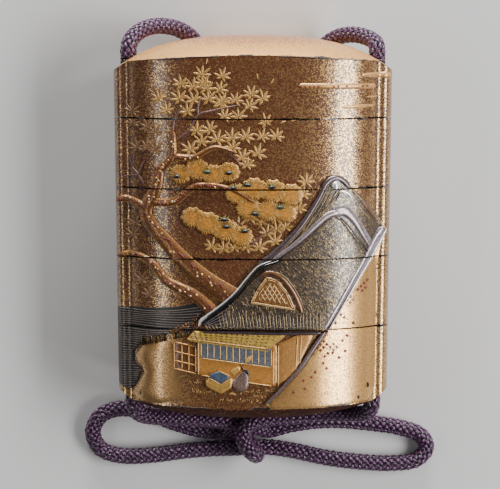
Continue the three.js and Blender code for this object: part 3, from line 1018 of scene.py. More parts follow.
# Round pine clumps, each with its radius, and the dark tufts on them
clump_sites = (
    (-15.2, 11.9, 2.0), (-11.6, 12.9, 2.2), (-8.2, 11.8, 2.1), (-5.0, 12.4, 2.0), (-3.4, 7.9, 2.1),
    (0.2, 8.9, 2.3), (4.2, 8.4, 2.4), (8.0, 7.6, 2.3), (-1.0, 5.0, 2.2), (3.2, 4.4, 2.2), (7.0, 3.9, 2.0),
    (-12.6, 3.0, 2.1), (-9.4, 1.8, 2.3), (-5.8, 0.4, 2.3), (-2.4, -0.9, 2.1),
)
clump_spokes = 60
clump_rings = (0.0, 0.2, 0.4, 0.6, 0.78, 0.9, 0.97, 1.0)
clump_height = 0.5
clump_needles = 30
for x, y, radius in clump_sites:
    points, heart, fringe = [lifted(x, y, clump_height)], [], []
    for share in clump_rings[1:]:
        for k in range(clump_spokes):
            turn = math.tau * k / clump_spokes
            scallop = 1 + 0.07 * math.cos(turn * 10) * share
            groove = 0.035 * math.cos(turn * 20) * share
            rise = clump_height * math.sqrt(1 - 0.9 * share ** 3) + groove if share < 1 else buried
            points.append(lifted(x + radius * 1.15 * share * scallop * math.cos(turn),
                                 y + radius * share * scallop * math.sin(turn), rise))
    for k in range(clump_spokes):
        j = (k + 1) % clump_spokes
        heart.append((0, 1 + k, 1 + j))
        for ring in range(len(clump_rings) - 2):
            a = 1 + ring * clump_spokes
            part = heart if clump_rings[ring + 2] < 0.7 else fringe
            part.append((a + k, a + clump_spokes + k, a + clump_spokes + j, a + j))
    add_mesh(trees, "pine", points, heart)
    add_mesh(trees, "pine_edge", points, fringe)
    for k in range(clump_needles):
        turn = math.tau * (k + rng.uniform(-0.2, 0.2)) / clump_needles
        near, far = radius * rng.uniform(0.35, 0.6), radius * rng.uniform(0.95, 1.1)
        route = [(x + 1.15 * reach * math.cos(turn), y + reach * math.sin(turn))
                 for reach in (near, (near + far) / 2, far)]
        stroke(trees, "needle", route, 0.22, 0.36, 0.2, ends=0.4, fine=True)
tuft_sites = (
    (-4.2, 8.9), (-1.1, 9.5), (4.0, 9.1), (0.4, 3.6), (5.7, 4.9), (-15.9, 11.2), (-5.0, 12.0),
    (-9.5, 12.2), (-6.0, 2.4), (-5.5, 0.9), (-1.7, 0.0),
)
tuft_needles = 13
for x, y in tuft_sites:
    dark = rng.choice(("tuft", "tuft", "green"))
    for k in range(tuft_needles):
        angle = math.radians(6 + 14 * k + rng.uniform(-4, 4))
        reach = rng.uniform(0.8, 1.1)
        route = [(x + math.cos(angle) * reach * share * 1.3, y + math.sin(angle) * reach * share)
                 for share in (0.1, 0.55, 1.0)]
        stroke(trees, "spring" if k % 2 else dark, route, 0.3, 0.44, 0.16, ends=0.4, fine=True)
    stroke(trees, dark, [(x - 0.8, y), (x, y + 0.15), (x + 0.8, y + 0.05)], 1.0, 0.4, 0.24, ends=0.5)

tree_looks = {
    "bark": lacquer_material("orange_gold_bark", bare=(0.095, 0.032, 0.014, 1), gold=(0.36, 0.17, 0.058, 1),
                             density=0.6, rim_darkening=0, roughness=0.4, grain=3600.0, coat=0.15),
    "leaf": drawn_material("tan_gold_leaves", (0.40, 0.215, 0.060), metallic=0.35, roughness=0.42,
                           coat=0.25),
    "faint": drawn_material("faint_gold_leaves", (0.20, 0.100, 0.042), metallic=0.3, roughness=0.5,
                            coat=0.1),
    "twig": drawn_material("purple_brown_twigs", (0.13, 0.060, 0.045), metallic=0.3, roughness=0.45,
                           coat=0.2),
    "red": drawn_material("dark_red_dots", (0.12, 0.016, 0.008), *matt_pigment),
    "pale": drawn_material("pale_gold_dots", (0.50, 0.29, 0.11), metallic=0.4),
    "pine": drawn_material("orange_gold_pines", (0.50, 0.215, 0.034), *satin),
    "pine_edge": drawn_material("tan_gold_pines", (0.42, 0.23, 0.055), *satin),
    "needle": drawn_material("gold_needles", (0.60, 0.32, 0.070), *satin),
    "tuft": drawn_material("black_tufts", (0.006, 0.006, 0.006), metallic=0.0, roughness=0.4, coat=0.2),
    "green": drawn_material("green_tufts", (0.025, 0.035, 0.016), metallic=0.1, roughness=0.4, coat=0.2),
    "spring": drawn_material("yellow_green_needles", (0.42, 0.36, 0.10), *satin),
}
lay_sheet("trees", trees, tree_looks)

# Roof. A steep thatched roof stands in high relief, in silver and gold powder over dark
# lacquer. A thick grey rake runs down its left slope to a glossy valley line, and straw is
# drawn stroke by stroke. A silver knob sits on the peak and a lattice fills the gable.
roof = new_sheet()
upper_lift = 0.66
lower_lift = 0.92
gable_lift = 1.08
# The upper slope behind and the lower slope in front of it
upper_roof = [
    (1.9, -8.0), (1.8, -6.6), (4.8, -5.0), (8.0, -1.8), (11.0, 2.4), (13.6, 7.0), (15.4, 10.2),
    (17.6, 11.2), (19.6, 10.2), (22.8, 7.0), (25.6, 4.0), (27.4, 1.4), (25.4, -4.6), (14.0, -12.0),
]
patch(roof, "thatch", upper_roof, upper_lift, edge=0.5)
lower_roof = [
    (-10.9, -19.4), (-7.0, -16.4), (-3.4, -13.4), (-0.9, -10.6), (1.3, -8.4), (3.6, -6.9), (6.0, -4.9),
    (10.2, -1.6), (14.2, 1.9), (16.6, 3.5), (18.6, 2.6), (21.1, -0.6), (25.0, -5.4), (21.2, -11.5),
    (18.0, -16.8), (15.2, -20.9), (8.0, -20.9), (-2.0, -20.3), (-8.2, -20.0),
]
patch(roof, "thatch", lower_roof, lower_lift, base=0.1, edge=0.55)
# The rake down the left, then the pearl-grey bands and thin lines round the hump
rake = [(15.4, 10.2), (13.9, 7.1), (11.7, 3.5), (9.4, 0.4), (7.0, -2.1), (4.2, -4.7), (1.0, -7.1)]
stroke(roof, "rake", rake, (0.9, 1.5), 0.3, 0.5, ends=0.05)
stroke(roof, "shadow", rake, 0.3, 0.78, 0.08, ends=0.05, fine=True)
for inwards, look in ((0.6, "straw"), (0.95, "shadow"), (1.3, "straw"), (1.65, "shadow")):
    shifted = [(x + inwards * 0.8, y - inwards * 0.55) for x, y in rake[:-1]]
    stroke(roof, look, shifted, 0.22, upper_lift, 0.16, ends=0.1, fine=True)
inner_band = [(18.2, 3.9), (15.9, 3.4), (13.6, 1.7), (11.3, -0.4), (9.0, -2.3), (6.7, -4.0), (4.0, -5.8)]
stroke(roof, "pearl", inner_band, (1.6, 0.8), 0.62, 0.42, ends=0.05)
hump_band = [(16.4, 3.5), (18.9, 4.2), (21.2, 2.5), (23.3, -0.6), (25.6, -4.3)]
stroke(roof, "pearl", hump_band, (2.7, 1.4), 0.5, 0.34, ends=0.04)
stroke(roof, "shadow", [(18.4, 2.8), (20.0, 1.2), (21.6, -0.9), (25.1, -5.3)], 0.34, 0.86, 0.14, ends=0.1,
       fine=True)
stroke(roof, "rim", [(20.2, 9.2), (23.2, 5.9), (26.2, 2.3), (28.4, -0.4)], 0.26, 0.55, 0.16, fine=True)
stroke(roof, "rim", [(21.9, 5.2), (23.5, 3.6), (25.2, 1.6)], 0.22, 0.66, 0.12, fine=True)
stroke(roof, "arch", [(22.9, 6.0), (24.6, 4.0), (26.0, 2.0)], 0.9, 0.55, 0.16, ends=0.3)


def straw(look, x, y, dx, dy, lift, width=0.17):
    """One bent straw of the thatch."""
    bend = rng.uniform(-0.12, 0.12)
    route = [(x, y), (x + dx / 2 + bend, y + dy / 2), (x + dx, y + dy)]
    stroke(roof, look, route, width, lift, 0.13, ends=0.35, step=0.9, fine=True)


# Straw: long and upright along the eave, short and leaning above it
eave_straws = 70
thatch_straws = 1300
upper_straws = 70
for i in range(eave_straws):
    x = -9.8 + 0.35 * i
    top = rng.uniform(3.0, 4.2) * (0.35 if x < -7 else 1.0)
    y = -20.2 - 0.5 * max(0.0, x) / 14
    if is_inside(x, y + top / 2, lower_roof):
        straw("straw" if i % 2 else "shadow", x, y, -0.5 + 0.03 * x, top, 0.93, 0.24)
for i in range(thatch_straws):
    x, y = rng.uniform(-6.0, 23.0), rng.uniform(-18.4, 1.0)
    fade = max(0.0, (x - 15.0) / 6.0)
    if is_inside(x, y, lower_roof) and edge_distance(x, y, lower_roof) > 0.9 and rng.random() > fade:
        low_part = y < -15.0
        dx, dy = (-0.3, 1.1) if low_part else (0.7, -0.7)
        straw(rng.choice(("straw", "shadow")), x, y, dx, dy, 0.93, 0.2)
for i in range(upper_straws):
    share = rng.random()
    x = 9.5 + 7.4 * share + rng.uniform(-0.3, 1.9)
    y = -0.6 + 8.6 * share + rng.uniform(-0.6, 0.4)
    if is_inside(x, y, upper_roof) and not is_inside(x, y, lower_roof):
        straw(rng.choice(("straw", "shadow")), x, y, 0.9, 1.5, 0.67, 0.2)
# The eave with its row of straw ends
eave = [(-10.6, -20.7), (-2.8, -20.9), (5.8, -21.1), (14.6, -21.1)]
stroke(roof, "rake", eave, 0.7, 0.3, 0.5, ends=0.05)
straw_ends = 34
for i in range(straw_ends):
    x, y = -9.4 + 0.7 * i, -19.75 - 0.1 * math.sin(i * 1.7)
    stroke(roof, "pearl", [(x, y), (x + 0.2, y), (x + 0.42, y)], 0.3, 0.9, 0.16, ends=0.4, fine=True)

# The glossy valley line with its silver edge, and the lines that fan out at its foot
valley = [(6.4, -5.7), (4.4, -6.3), (1.5, -7.5), (-0.8, -9.9), (-3.6, -13.2), (-6.9, -16.0), (-11.0, -18.9)]
stroke(roof, "black", valley, (0.5, 1.0), 0.6, 0.55, ends=0.08)
silver_edge = [(x - 0.42, y + 0.46) for x, y in valley[1:]]
stroke(roof, "silver", silver_edge, (0.26, 0.42), 0.6, 0.46, ends=0.1)
stroke(roof, "silver", [(-9.7, -17.4), (-10.9, -18.4), (-11.5, -19.6)], 0.8, 0.5, 0.6, ends=0.3)
fan_lines = 9
for i in range(fan_lines):
    fan_end = (-4.6 - 0.15 * i, -14.9 - 0.55 * i)
    fan_start = (-10.3 + 0.15 * i, -18.9 - 0.06 * i)
    stroke(roof, "pearl" if i % 2 else "black", [fan_start, between(fan_start, fan_end, 0.5), fan_end],
           0.34, 0.9, 0.2, ends=0.3, fine=True)

# The gable with its lattice, and the arch over it
gable = [(2.9, -9.3), (0.9, -12.0), (-0.4, -14.6), (8.9, -16.1), (7.3, -12.6), (5.1, -10.0)]
patch(roof, "wall", gable, gable_lift, base=0.5, edge=0.2, step=0.6)
gable_middle = (3.8, -13.4)
lattice_gap = 0.98
bars_each_way = 11
for i in range(-bars_each_way, bars_each_way + 1):
    for lean in (-0.62, 0.62):
        run = []
        for k in range(40):
            y = -9.0 - 0.2 * k
            x = 3.5 + lattice_gap * i + (y + 12.5) * lean
            if is_inside(x, y, gable) and edge_distance(x, y, gable) > 0.7:
                run.append((x, y))
        if len(run) > 2:
            lattice_bar = [run[0], run[len(run) // 2], run[-1]]
            stroke(roof, "rim", lattice_bar, 0.34, 1.12, 0.12, ends=0.1, fine=True)
for inset, width in ((0.0, 0.34), (0.1, 0.2)):
    frame_line = [between(corner, gable_middle, inset) for corner in gable]
    for k, corner in enumerate(frame_line):
        other = frame_line[(k + 1) % len(frame_line)]
        stroke(roof, "rim", [corner, between(corner, other, 0.5), other], width, 1.06, 0.16, ends=0.03)
arch = [(1.6, -9.4), (3.2, -8.4), (5.7, -9.3), (8.5, -12.6), (10.4, -16.8)]
stroke(roof, "arch", arch, (1.0, 1.4), 0.84, 0.34, ends=0.05)
stroke(roof, "straw", [(x + 0.6, y + 0.4) for x, y in arch[1:]], 0.22, 0.98, 0.14, fine=True)

# The peak: a hood round a silver knob, and a short silver stroke to its right, below the seam, that is a
# painted highlight
hood = [(14.7, 8.7), (15.4, 10.0), (16.6, 10.9), (17.9, 10.9), (19.1, 10.2), (20.3, 8.9)]
stroke(roof, "rake", hood, 1.3, 0.4, 0.5, ends=0.12, step=0.3)
knob_at = (17.4, 9.4)
knob_radius = 1.15
knob_sides = 24
knob = []
for k in range(knob_sides):
    turn = math.tau * k / knob_sides
    knob.append((knob_at[0] + knob_radius * math.cos(turn), knob_at[1] + knob_radius * math.sin(turn)))
patch(roof, "silver", knob, 1.45, base=0.5, edge=1.1, step=0.25)
# Painted highlight: a pale glint below the seam, to the right of the knob
stroke(roof, "silver", [(18.2, 8.3), (19.6, 8.0), (20.8, 6.9)], 0.7, 0.62, 0.16)

roof_looks = {
    "thatch": lacquer_material("silver_gold_thatch", bare=(0.046, 0.031, 0.023, 1),
                               gold=(0.36, 0.28, 0.16, 1), density=0.24, rim_darkening=0, roughness=0.34,
                               coat=0.3),
    "straw": drawn_material("gold_straw", (0.46, 0.32, 0.16), metallic=0.4, roughness=0.4, coat=0.3),
    "shadow": drawn_material("dark_straw", (0.022, 0.015, 0.016), metallic=0.2),
    "rake": drawn_material("grey_rake", (0.10, 0.070, 0.075), metallic=0.6, roughness=0.34),
    "rim": drawn_material("thin_gold_lines", (0.52, 0.32, 0.13), metallic=0.5),
    "pearl": drawn_material("pearl_grey", (0.27, 0.215, 0.22), metallic=0.6, roughness=0.3),
    "silver": drawn_material("silver_powder_and_glint", (0.72, 0.69, 0.66), metallic=0.6, roughness=0.25,
                             variation=0.08),
    "black": drawn_material("black_valley", (0.006, 0.005, 0.005), metallic=0.0, roughness=0.08, coat=1.0),
    "wall": drawn_material("gable_gold", (0.25, 0.105, 0.030), metallic=0.4),
    "arch": drawn_material("brown_arch", (0.14, 0.060, 0.024), metallic=0.5),
}
lay_sheet("roof", roof, roof_looks)

# House and yard. Below the roof stand walls of orange gold with posts, a lean-to roof with
# rows of shingles and a row of blue-grey window panes. A lattice fence, a small chest and
# a tied bundle stand in the yard, with a few lines of gold grass.
house = new_sheet()
wall_lift = 0.35


def panel(look, corners, lift, edge=0.12, step=0.9, base=0.0):
    """A flat raised panel of the house."""
    patch(house, look, corners, lift, base=base, edge=edge, step=step)


def bar(look, a, b, width=0.3, lift=wall_lift, height=0.14):
    """A straight raised bar of the house."""
    middle = ((a[0] + b[0]) / 2, (a[1] + b[1]) / 2)
    stroke(house, look, [a, middle, b], width, lift, height, ends=0.03, step=0.8, fine=width < 0.2)


# Walls, window panes and posts
front_wall = [(-11.8, -22.8), (5.2, -23.4), (5.2, -32.0), (3.9, -32.0), (-11.0, -29.8), (-11.9, -29.8)]
panel("wall", front_wall, wall_lift)
panel("side_wall", [(5.3, -23.2), (9.5, -21.3), (13.0, -21.3), (8.9, -29.3), (5.3, -31.9)], wall_lift)
window_top = ((-11.0, -22.7), (3.9, -24.3))
window_foot = ((-11.0, -26.2), (3.9, -28.1))
panes = 11
for i in range(panes):
    left, right = (i + 0.06) / panes, (i + 0.94) / panes
    pane = [between(*window_top, left), between(*window_top, right),
            between(*window_foot, right), between(*window_foot, left)]
    panel("glass", pane, wall_lift + 0.1, 0.1, step=0.3, base=wall_lift + 0.06)
for i in range(panes + 1):
    share = i / panes
    bar("pale", between(*window_top, share), between(*window_foot, share), 0.26, height=0.2)
bar("pale", window_foot[0], window_foot[1], 0.22)
posts = (((-11.6, -22.6), (-11.6, -29.8)), ((4.3, -24.4), (4.3, -32.0)), ((5.4, -23.4), (5.4, -32.0)),
         ((9.5, -21.4), (9.1, -29.0)), ((10.3, -21.4), (10.0, -27.6)))
for top, foot in posts:
    bar("pale", top, foot, 0.3)
bar("pale", (-11.0, -29.8), (4.0, -32.0), 0.2)
grain_lines = 14
for i in range(grain_lines):
    y = -24.4 - 0.52 * i
    bar("grain", (5.7, y), (9.0, y + 1.1), 0.14, wall_lift, 0.06)
# The lean-to roof with its rows of shingles
lean_to = [(-12.4, -20.6), (7.0, -21.4), (3.2, -24.2), (-14.0, -22.2)]
panel("shingle", lean_to, 0.66, edge=0.3, base=0.2)
shingle_rows = 4
shingles_in_row = 16
for i in range(shingle_rows):
    share = (i + 0.6) / (shingle_rows + 0.4)
    start, end = between(lean_to[0], lean_to[3], share), between(lean_to[1], lean_to[2], share)
    for k in range(shingles_in_row):
        a = between(start, end, (k + 0.3 + 0.5 * (i % 2)) / (shingles_in_row + 1))
        bar("dash", (a[0] - 0.3, a[1]), (a[0] + 0.3, a[1] - 0.03), 0.32, 0.7, 0.1)
bar("pale", lean_to[3], lean_to[2], 0.26, 0.62, 0.16)
bar("pale", lean_to[2], lean_to[1], 0.24, 0.62, 0.16)
bar("shingle", (-14.0, -22.5), (3.4, -24.7), 0.3, 0.5, 0.1)

# The lattice fence
panel("yard", [(-16.6, -23.0), (-12.3, -23.9), (-12.3, -29.3), (-16.6, -28.6)], 0.08, 0.08)
for share in (0.0, 0.36, 0.68, 1.0):
    x = -16.8 + 4.6 * share
    bar("fence", (x, -22.8 - 1.0 * share), (x, -28.7 - 0.7 * share), 0.32, 0.1, 0.22)
for share in (0.02, 0.36, 0.7, 1.0):
    y = -22.9 - 5.7 * share
    bar("fence", (-16.9, y), (-12.2, y - 0.9), 0.3, 0.1, 0.22)

# The chest, the bundle behind it and a stick
chest = [(-10.1, -30.5), (-9.5, -30.1), (-6.8, -31.4), (-4.4, -30.2), (-4.3, -31.0), (-4.6, -32.4),
         (-6.8, -33.7), (-10.0, -32.2)]
panel("chest", chest, 0.62, 0.12, step=0.5)
chest_top = [(-9.1, -29.5), (-7.3, -28.9), (-4.8, -30.1), (-6.7, -31.6), (-9.5, -30.4)]
panel("blue", chest_top, 0.72, 0.1, step=0.4)
chest_lines = (((-10.0, -31.3), (-6.9, -32.7)), ((-6.8, -31.9), (-6.8, -33.5)),
               ((-6.8, -32.7), (-4.5, -31.6)))
for a, b in chest_lines:
    bar("dash", a, b, 0.15, 0.64, 0.06)
chest_rims = (((-9.5, -30.3), (-6.7, -31.7)), ((-6.7, -31.7), (-4.7, -30.3)),
              ((-7.3, -28.8), (-4.7, -30.0)))
for a, b in chest_rims:
    bar("pale", a, b, 0.22, 0.7, 0.1)
panel("chest", [(-5.0, -28.8), (-3.0, -27.7), (-2.4, -28.4), (-4.2, -30.0)], 0.5, 0.1, step=0.4)
bundle = [(-2.2, -28.7), (-1.0, -29.2), (-0.8, -31.6), (-1.5, -33.0), (-3.4, -33.2), (-4.6, -31.8),
          (-4.0, -30.3)]
patch(house, "bundle", bundle, 0.66, edge=0.7, step=0.5, rounded=True)
for bend in (-0.6, 0.1, 0.8):
    fold = [(-2.2 + bend * 0.3, -29.2), (-2.8 + bend, -30.8), (-2.7 + bend * 1.2, -32.6)]
    stroke(house, "dash", fold, 0.14, 0.62, 0.1, fine=True)
stroke(house, "knot", [(-2.1, -28.5), (-1.2, -28.9), (-0.8, -29.8)], 0.5, 0.6, 0.2)
bar("chest", (-0.2, -25.6), (-1.7, -27.3), 1.0, 0.42, 0.24)
bar("dash", (-1.9, -27.4), (-2.4, -28.6), 0.2, 0.5, 0.16)
bar("pale", (-2.6, -27.5), (-1.7, -28.6), 0.15, 0.5, 0.16)
stroke(house, "pale", [(-5.2, -33.7), (-4.3, -33.6), (-3.5, -33.9)], 0.6, 0.0, 0.14, ends=0.5)

# Grass, as rows from one place to another
grass_rows = ((-13.4, -33.4, -8.0, -34.0), (-2.8, -33.9, 4.4, -33.3), (-7.4, -35.2, 1.6, -35.6),
              (-14.0, -31.4, -11.2, -31.7), (-1.0, -34.6, 3.4, -34.4))
for from_x, from_y, to_x, to_y in grass_rows:
    for i in range(round((to_x - from_x) * 3.2)):
        x, y = between((from_x, from_y), (to_x, to_y), rng.random())
        y += rng.uniform(-0.3, 0.3)
        lean = rng.uniform(-0.5, 0.5)
        blade = [(x, y), (x + lean * 0.4, y + 0.35), (x + lean, y + rng.uniform(0.4, 0.8))]
        stroke(house, "grass", blade, 0.24, 0.0, 0.12, ends=0.4, step=0.4, fine=True)

# Finishes of the house: metallic, roughness, coat and how uneven the powder lies
wall_finish = (0.35, 0.4, 0.3, 0.15)
bar_finish = (0.4, 0.4, 0.3, 0.12)
house_looks = {
    "wall": drawn_material("orange_gold_wall", (0.44, 0.19, 0.038), *wall_finish),
    "side_wall": drawn_material("gold_side_wall", (0.44, 0.21, 0.055), *wall_finish),
    "glass": drawn_material("blue_grey_panes", (0.105, 0.118, 0.135), metallic=0.2, roughness=0.4,
                            coat=0.3),
    "pale": drawn_material("pale_gold_bars", (0.62, 0.36, 0.12), *bar_finish),
    "fence": drawn_material("orange_gold_fence", (0.46, 0.22, 0.055), *bar_finish),
    "grain": drawn_material("wall_grain", (0.40, 0.19, 0.05), metallic=0.4),
    "shingle": drawn_material("yellow_gold_shingles", (0.54, 0.35, 0.060), metallic=0.35, roughness=0.4,
                              coat=0.3),
    "dash": drawn_material("dark_dashes", (0.10, 0.040, 0.015), metallic=0.1),
    "yard": drawn_material("brown_yard", (0.16, 0.065, 0.018), metallic=0.4),
    "chest": drawn_material("gold_chest", (0.54, 0.30, 0.070), *bar_finish),
    "blue": drawn_material("blue_chest_top", (0.060, 0.085, 0.125), metallic=0.2, roughness=0.35, coat=0.4),
    "bundle": drawn_material("grey_purple_bundle", (0.17, 0.110, 0.090), metallic=0.3, roughness=0.4,
                             coat=0.3),
    "knot": drawn_material("black_knot", (0.008, 0.007, 0.007), metallic=0.0),
    "grass": drawn_material("gold_grass", (0.50, 0.27, 0.085), metallic=0.5),
}
lay_sheet("house", house, house_looks)

# Land. A gold hill rises behind the house to the right, edged by a bright ridge that thins
# downwards, with small red squares. A gold bank stands to the left, and a dark stream with
# fine pale lines runs round it and over the left runner. Bars of mist hang at the top right.
land = new_sheet()
hill_lift = 0.4
sunk = 0.37
# The hill, its ridge and the line below it
hill_edge = [(27.9, 0.4), (25.4, -4.4), (21.6, -10.4), (18.0, -16.4), (15.3, -20.8)]
lower_edge = [(15.3, -20.8), (12.7, -24.5), (10.1, -28.3), (7.1, -31.6), (4.5, -34.3), (2.6, -36.0)]
hill_foot = [(x, base_rim(x) + 0.15) for x in (4, 10, 16, 22, 25.6)]
hill = hill_edge + lower_edge[1:] + hill_foot + [(26.6, -33.0), (26.6, -8.0)]


def sinks_right(x, y, distance):
    """The hill thins out towards the right, until it is level with the ground."""
    return -sunk * min(1.0, max(0.0, (x - 14) / 9))


def bank_sinks_right(x, y, distance):
    """The bank thins out towards the house."""
    return -sunk * min(1.0, max(0.0, (x + 20) / 5))


patch(land, "hill", hill, hill_lift, edge=0.3, step=0.9, form=sinks_right)
pearl_line = [(x - 0.4, y + 0.2) for x, y in hill_edge]
stroke(land, "pearl", pearl_line, (2.1, 1.2), 0.35, 0.66, ends=0.06)
silver_line = [(x + 0.45, y - 0.3) for x, y in hill_edge]
stroke(land, "silver", silver_line, (0.75, 0.25), 0.5, 0.5, ends=0.1)
stroke(land, "purple", lower_edge, (1.1, 0.6), 0.3, 0.6, ends=0.06)
stroke(land, "rim", [(x + 0.6, y - 0.3) for x, y in lower_edge], 0.22, 0.4, 0.16, fine=True)


def square(look, x, y):
    """A small raised square that stands on one corner on the hill."""
    dot(land, look, x, y, 0.49, hill_lift + sinks_right(x, y, 0), 0.16, sides=4)


# Squares in small grids that follow the ridge, then lone ones
square_grids = (
    ("red", 22.3, -12.4, 4, 1), ("red", 23.3, -12.7, 2, 1), ("faded", 20.0, -14.4, 2, 2),
    ("faded", 18.7, -17.4, 1, 2), ("red", 13.7, -24.1, 3, 2), ("faded", 16.5, -24.1, 2, 2),
    ("red", 15.3, -26.0, 2, 1),
)
for look, x, y, columns, rows in square_grids:
    for column in range(columns):
        for row in range(rows):
            square(look, x + 0.68 * (column + row), y + 0.62 * (column - row))
lone_squares = (
    (17.5, -19.1), (16.4, -20.0), (15.6, -20.9), (21.4, -19.3), (20.1, -21.9), (19.1, -22.9), (19.7, -25.1),
    (18.4, -26.4), (15.0, -27.4), (15.7, -28.5), (13.3, -29.2), (12.5, -30.2), (10.8, -30.9),
    (11.1, -32.6), (8.7, -33.3), (17.0, -25.3),
)
for x, y in lone_squares:
    square("red", x, y)

# The stream on the face and over the runner, with its ripples
stream = [
    (-29.1, -16.4), (-26.6, -16.3), (-20.8, -16.1), (-16.1, -15.7), (-12.9, -15.0), (-10.6, -14.6),
    (-10.0, -16.5), (-11.6, -18.4), (-12.8, -20.6), (-16.1, -21.2), (-20.0, -22.0), (-23.3, -23.0),
    (-25.2, -25.5), (-25.3, -27.8), (-24.2, -28.6), (-23.8, -29.6), (-24.2, -30.9), (-25.3, -33.0),
    (-26.6, -34.0), (-28.9, -33.0),
]
runner_edge = -26.8
on_face = [(max(x, runner_edge), y) for x, y in stream]
patch(land, "water", on_face, 0.04, edge=0.15, step=0.8)
on_runner = [(-29.1, -16.4), (runner_edge, -16.3), (runner_edge, -33.9), (-29.1, -32.8)]
patch(land, "water", on_runner, 0.05, edge=0.1, step=0.22)
ripples = 39
ripple_gap = 0.455
for i in range(ripples):
    y = -16.7 - ripple_gap * i
    bend = max(0.0, 1 - i / 9)
    run = []
    x = -28.9
    while x < -9.8:
        rise = bend * 1.2 * max(0.0, (x + 20) / 10) ** 2 + 0.12 * math.sin(x * 0.35 + i * 0.7)
        rise -= 0.5 * max(0.0, (i - 17) / 22) * max(0.0, (-25 - x) / 3)
        place = (x, y + rise)
        if is_inside(*place, stream) and edge_distance(*place, stream) > 0.12:
            run.append(place)
        elif len(run) > 2:
            break
        x += 0.45
    if len(run) > 2:
        stroke(land, "ripple", run, 0.25, 0.05, 0.13, ends=0.04, step=0.25, fine=True)
# The bank with reeds on its edge and low tufts beside the roof
bank_foot = [(x, base_rim(x) + 0.15) for x in (-16, -20, -24)]
bank = [
    (-25.2, -26.2), (-23.6, -24.0), (-20.4, -22.7), (-17.0, -22.0), (-15.2, -24.0), (-14.2, -29.0),
    (-13.0, -36.6), *bank_foot, (-26.4, -34.6), (-24.8, -32.4), (-23.5, -29.8), (-24.2, -28.4),
    (-25.2, -27.8),
]
patch(land, "bank", bank, hill_lift, edge=2.0, step=0.7, form=bank_sinks_right, soft=True)
reeds = 90
low_tufts = 80
for i in range(reeds):
    share = rng.random()
    x, y = between((-24.0, -24.0), (-13.6, -21.6), share)
    top = y + rng.uniform(0.8, 2.0)
    blade = [(x, y - 0.2), (x + 0.1, (y + top) / 2), (x + rng.uniform(-0.4, 0.4), top)]
    stroke(land, rng.choice(("reed", "water")), blade, 0.2, 0.0, 0.22, ends=0.3, step=0.6, fine=True)
for i in range(low_tufts):
    x = rng.uniform(-17.4, -11.6)
    y = rng.uniform(-21.4, -21.0 + 0.62 * (x + 17.4))
    twig = [(x, y), (x + rng.uniform(-0.3, 0.3), y + 0.3), (x + rng.uniform(-0.5, 0.5), y + 0.6)]
    stroke(land, rng.choice(("reed", "rust", "water")), twig, 0.26, 0.1, 0.2, ends=0.4, fine=True)

# Bars of mist, one with a row of red squares
mist_bars = (
    ([(9.4, 30.1), (17.5, 29.9), (25.6, 29.8)], (1.1, 1.2), 0.04),
    ([(22.6, 32.1), (26.0, 32.1), (28.9, 32.0)], (0.9, 1.5), 0.15),
    ([(18.4, 25.6), (21.6, 25.7), (25.6, 25.8)], (1.1, 0.8), 0.4),
    ([(23.6, 27.6), (24.8, 27.6), (26.2, 27.7)], 0.5, 0.4),
)
for route, width, ends in mist_bars:
    stroke(land, "mist", route, width, 0.0, 0.3, ends=ends, step=0.25)
for x in (9.9, 10.8, 11.7, 12.6, 13.5, 16.7, 17.6, 19.4, 22.8, 23.7):
    dot(land, "red", x, 29.9, 0.36, 0.27, 0.14, sides=4)

# Dark lines just under the lid's edge are painted shade below the dome's rim, and dark lacquer shows where
# the gold is worn or chipped off the foot
shade_lines_and_worn_edges = (
    (-22.6, -7.0, lid_rim, -0.2, 0.34), (5.0, 23.0, lid_rim, -0.2, 0.3), (-0.6, 4.2, base_rim, 0.3, 0.6),
    (-17.6, -9.0, base_rim, 0.15, 0.3), (15.0, 21.0, base_rim, 0.15, 0.3),
)
edge_line_steps = 8
for from_x, to_x, rim, inset, width in shade_lines_and_worn_edges:
    line = []
    for k in range(edge_line_steps + 1):
        x = from_x + (to_x - from_x) * k / edge_line_steps
        line.append((x, rim(x) + inset + rng.uniform(-0.08, 0.08)))
    stroke(land, "chip", line, width, 0.0, 0.03, ends=0.3)
for x, y, length in ((24.9, -33.2, 1.0), (22.8, -35.4, 0.7), (-24.4, -34.6, 0.8)):
    stroke(land, "chip", [(x, y), (x + 0.1, y + length / 2), (x, y + length)], 0.34, 0.1, 0.34, ends=0.5)

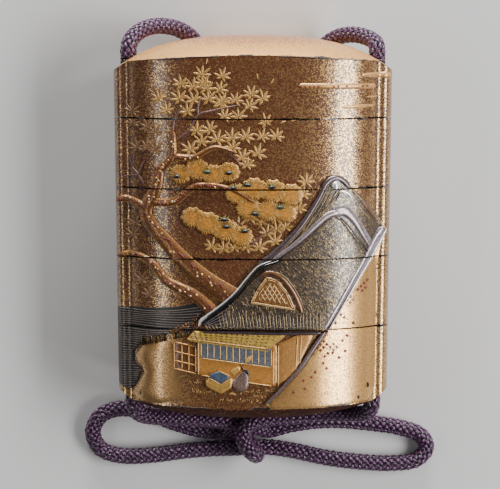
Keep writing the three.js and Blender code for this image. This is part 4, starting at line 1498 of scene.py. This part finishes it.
land_looks = {
    "hill": lacquer_material("dense_gold_hill", bare=(0.36, 0.15, 0.045, 1), gold=(0.86, 0.54, 0.20, 1),
                             density=0.8, rim_darkening=0, roughness=0.32),
    "bank": lacquer_material("dense_gold_bank", bare=(0.20, 0.085, 0.03, 1), gold=(0.66, 0.43, 0.18, 1),
                             density=0.7, rim_darkening=0, roughness=0.3),
    "pearl": drawn_material("pearl_ridge", (0.30, 0.245, 0.27), metallic=0.6, roughness=0.28),
    "silver": drawn_material("silver_ridge_edge", (0.78, 0.73, 0.68), metallic=0.5, roughness=0.25,
                             variation=0.08),
    "purple": drawn_material("purple_grey_line", (0.13, 0.090, 0.090), metallic=0.5, roughness=0.3),
    "rim": drawn_material("gold_hill_line", (0.58, 0.34, 0.12), metallic=0.6),
    "red": drawn_material("red_squares", (0.15, 0.022, 0.009), *matt_pigment),
    "faded": drawn_material("faded_squares", (0.30, 0.19, 0.13), *matt_pigment),
    "water": drawn_material("dark_stream", (0.010, 0.010, 0.012), metallic=0.1, roughness=0.4, coat=0.1),
    "ripple": drawn_material("pale_ripples", (0.24, 0.185, 0.145), metallic=0.4, roughness=0.4, coat=0.2),
    "reed": drawn_material("gold_reeds", (0.42, 0.25, 0.10), metallic=0.4),
    "rust": drawn_material("rust_tufts", (0.34, 0.12, 0.04), metallic=0.3),
    "mist": drawn_material("orange_gold_mist", (0.58, 0.30, 0.10), metallic=0.5),
    "chip": drawn_material("dark_lacquer_chips_and_shade", (0.012, 0.006, 0.005), metallic=0.0, roughness=0.4,
                           coat=0.2),
}
lay_sheet("land", land, land_looks)

# Floor, lights. A plain pale floor, and soft lamps that draw the same long highlights on
# the case as a studio's would: one strip to each side and one beyond the lid.
floor_z = case_shift + cord_level - cord_diameter / 2
floor_mesh = bpy.data.meshes.new("floor")
reach = 3.0
floor_mesh.from_pydata(
    [(-reach, -reach, floor_z * MM), (reach, -reach, floor_z * MM),
     (reach, reach, floor_z * MM), (-reach, reach, floor_z * MM)], [], [(0, 1, 2, 3)])
floor = in_scene("floor", floor_mesh)
pale, tree, shader = new_material("pale_floor")
shader.inputs["Base Color"].default_value = (0.62, 0.61, 0.6, 1)
shader.inputs["Roughness"].default_value = 0.8
floor_mesh.materials.append(pale)


def soft_lamp(name, azimuth, tilt, size, power):
    """An area lamp aimed at the case. tilt is counted from straight above."""
    data = bpy.data.lights.new(name, "AREA")
    data.shape = "RECTANGLE"
    data.size, data.size_y = size
    data.energy = power
    lamp = in_scene(name, data)
    a, t = math.radians(azimuth), math.radians(tilt)
    towards = Vector((math.cos(a) * math.sin(t), math.sin(a) * math.sin(t), math.cos(t)))
    lamp.location = towards * lamp_distance
    lamp.rotation_euler = towards.to_track_quat("Z", "Y").to_euler()


lamp_distance = 0.9
soft_lamp("lamp_right", azimuth=0, tilt=49.5, size=(0.9, 0.32), power=13)
soft_lamp("lamp_left", azimuth=180, tilt=49, size=(0.9, 0.2), power=1.8)
soft_lamp("lamp_beyond_lid", azimuth=90, tilt=82, size=(0.7, 0.15), power=22)
world = bpy.data.worlds.new("room")
world.use_nodes = True
world.node_tree.nodes["Background"].inputs["Color"].default_value = (0.9, 0.92, 1.0, 1)
world.node_tree.nodes["Background"].inputs["Strength"].default_value = 0.08
bpy.context.scene.world = world
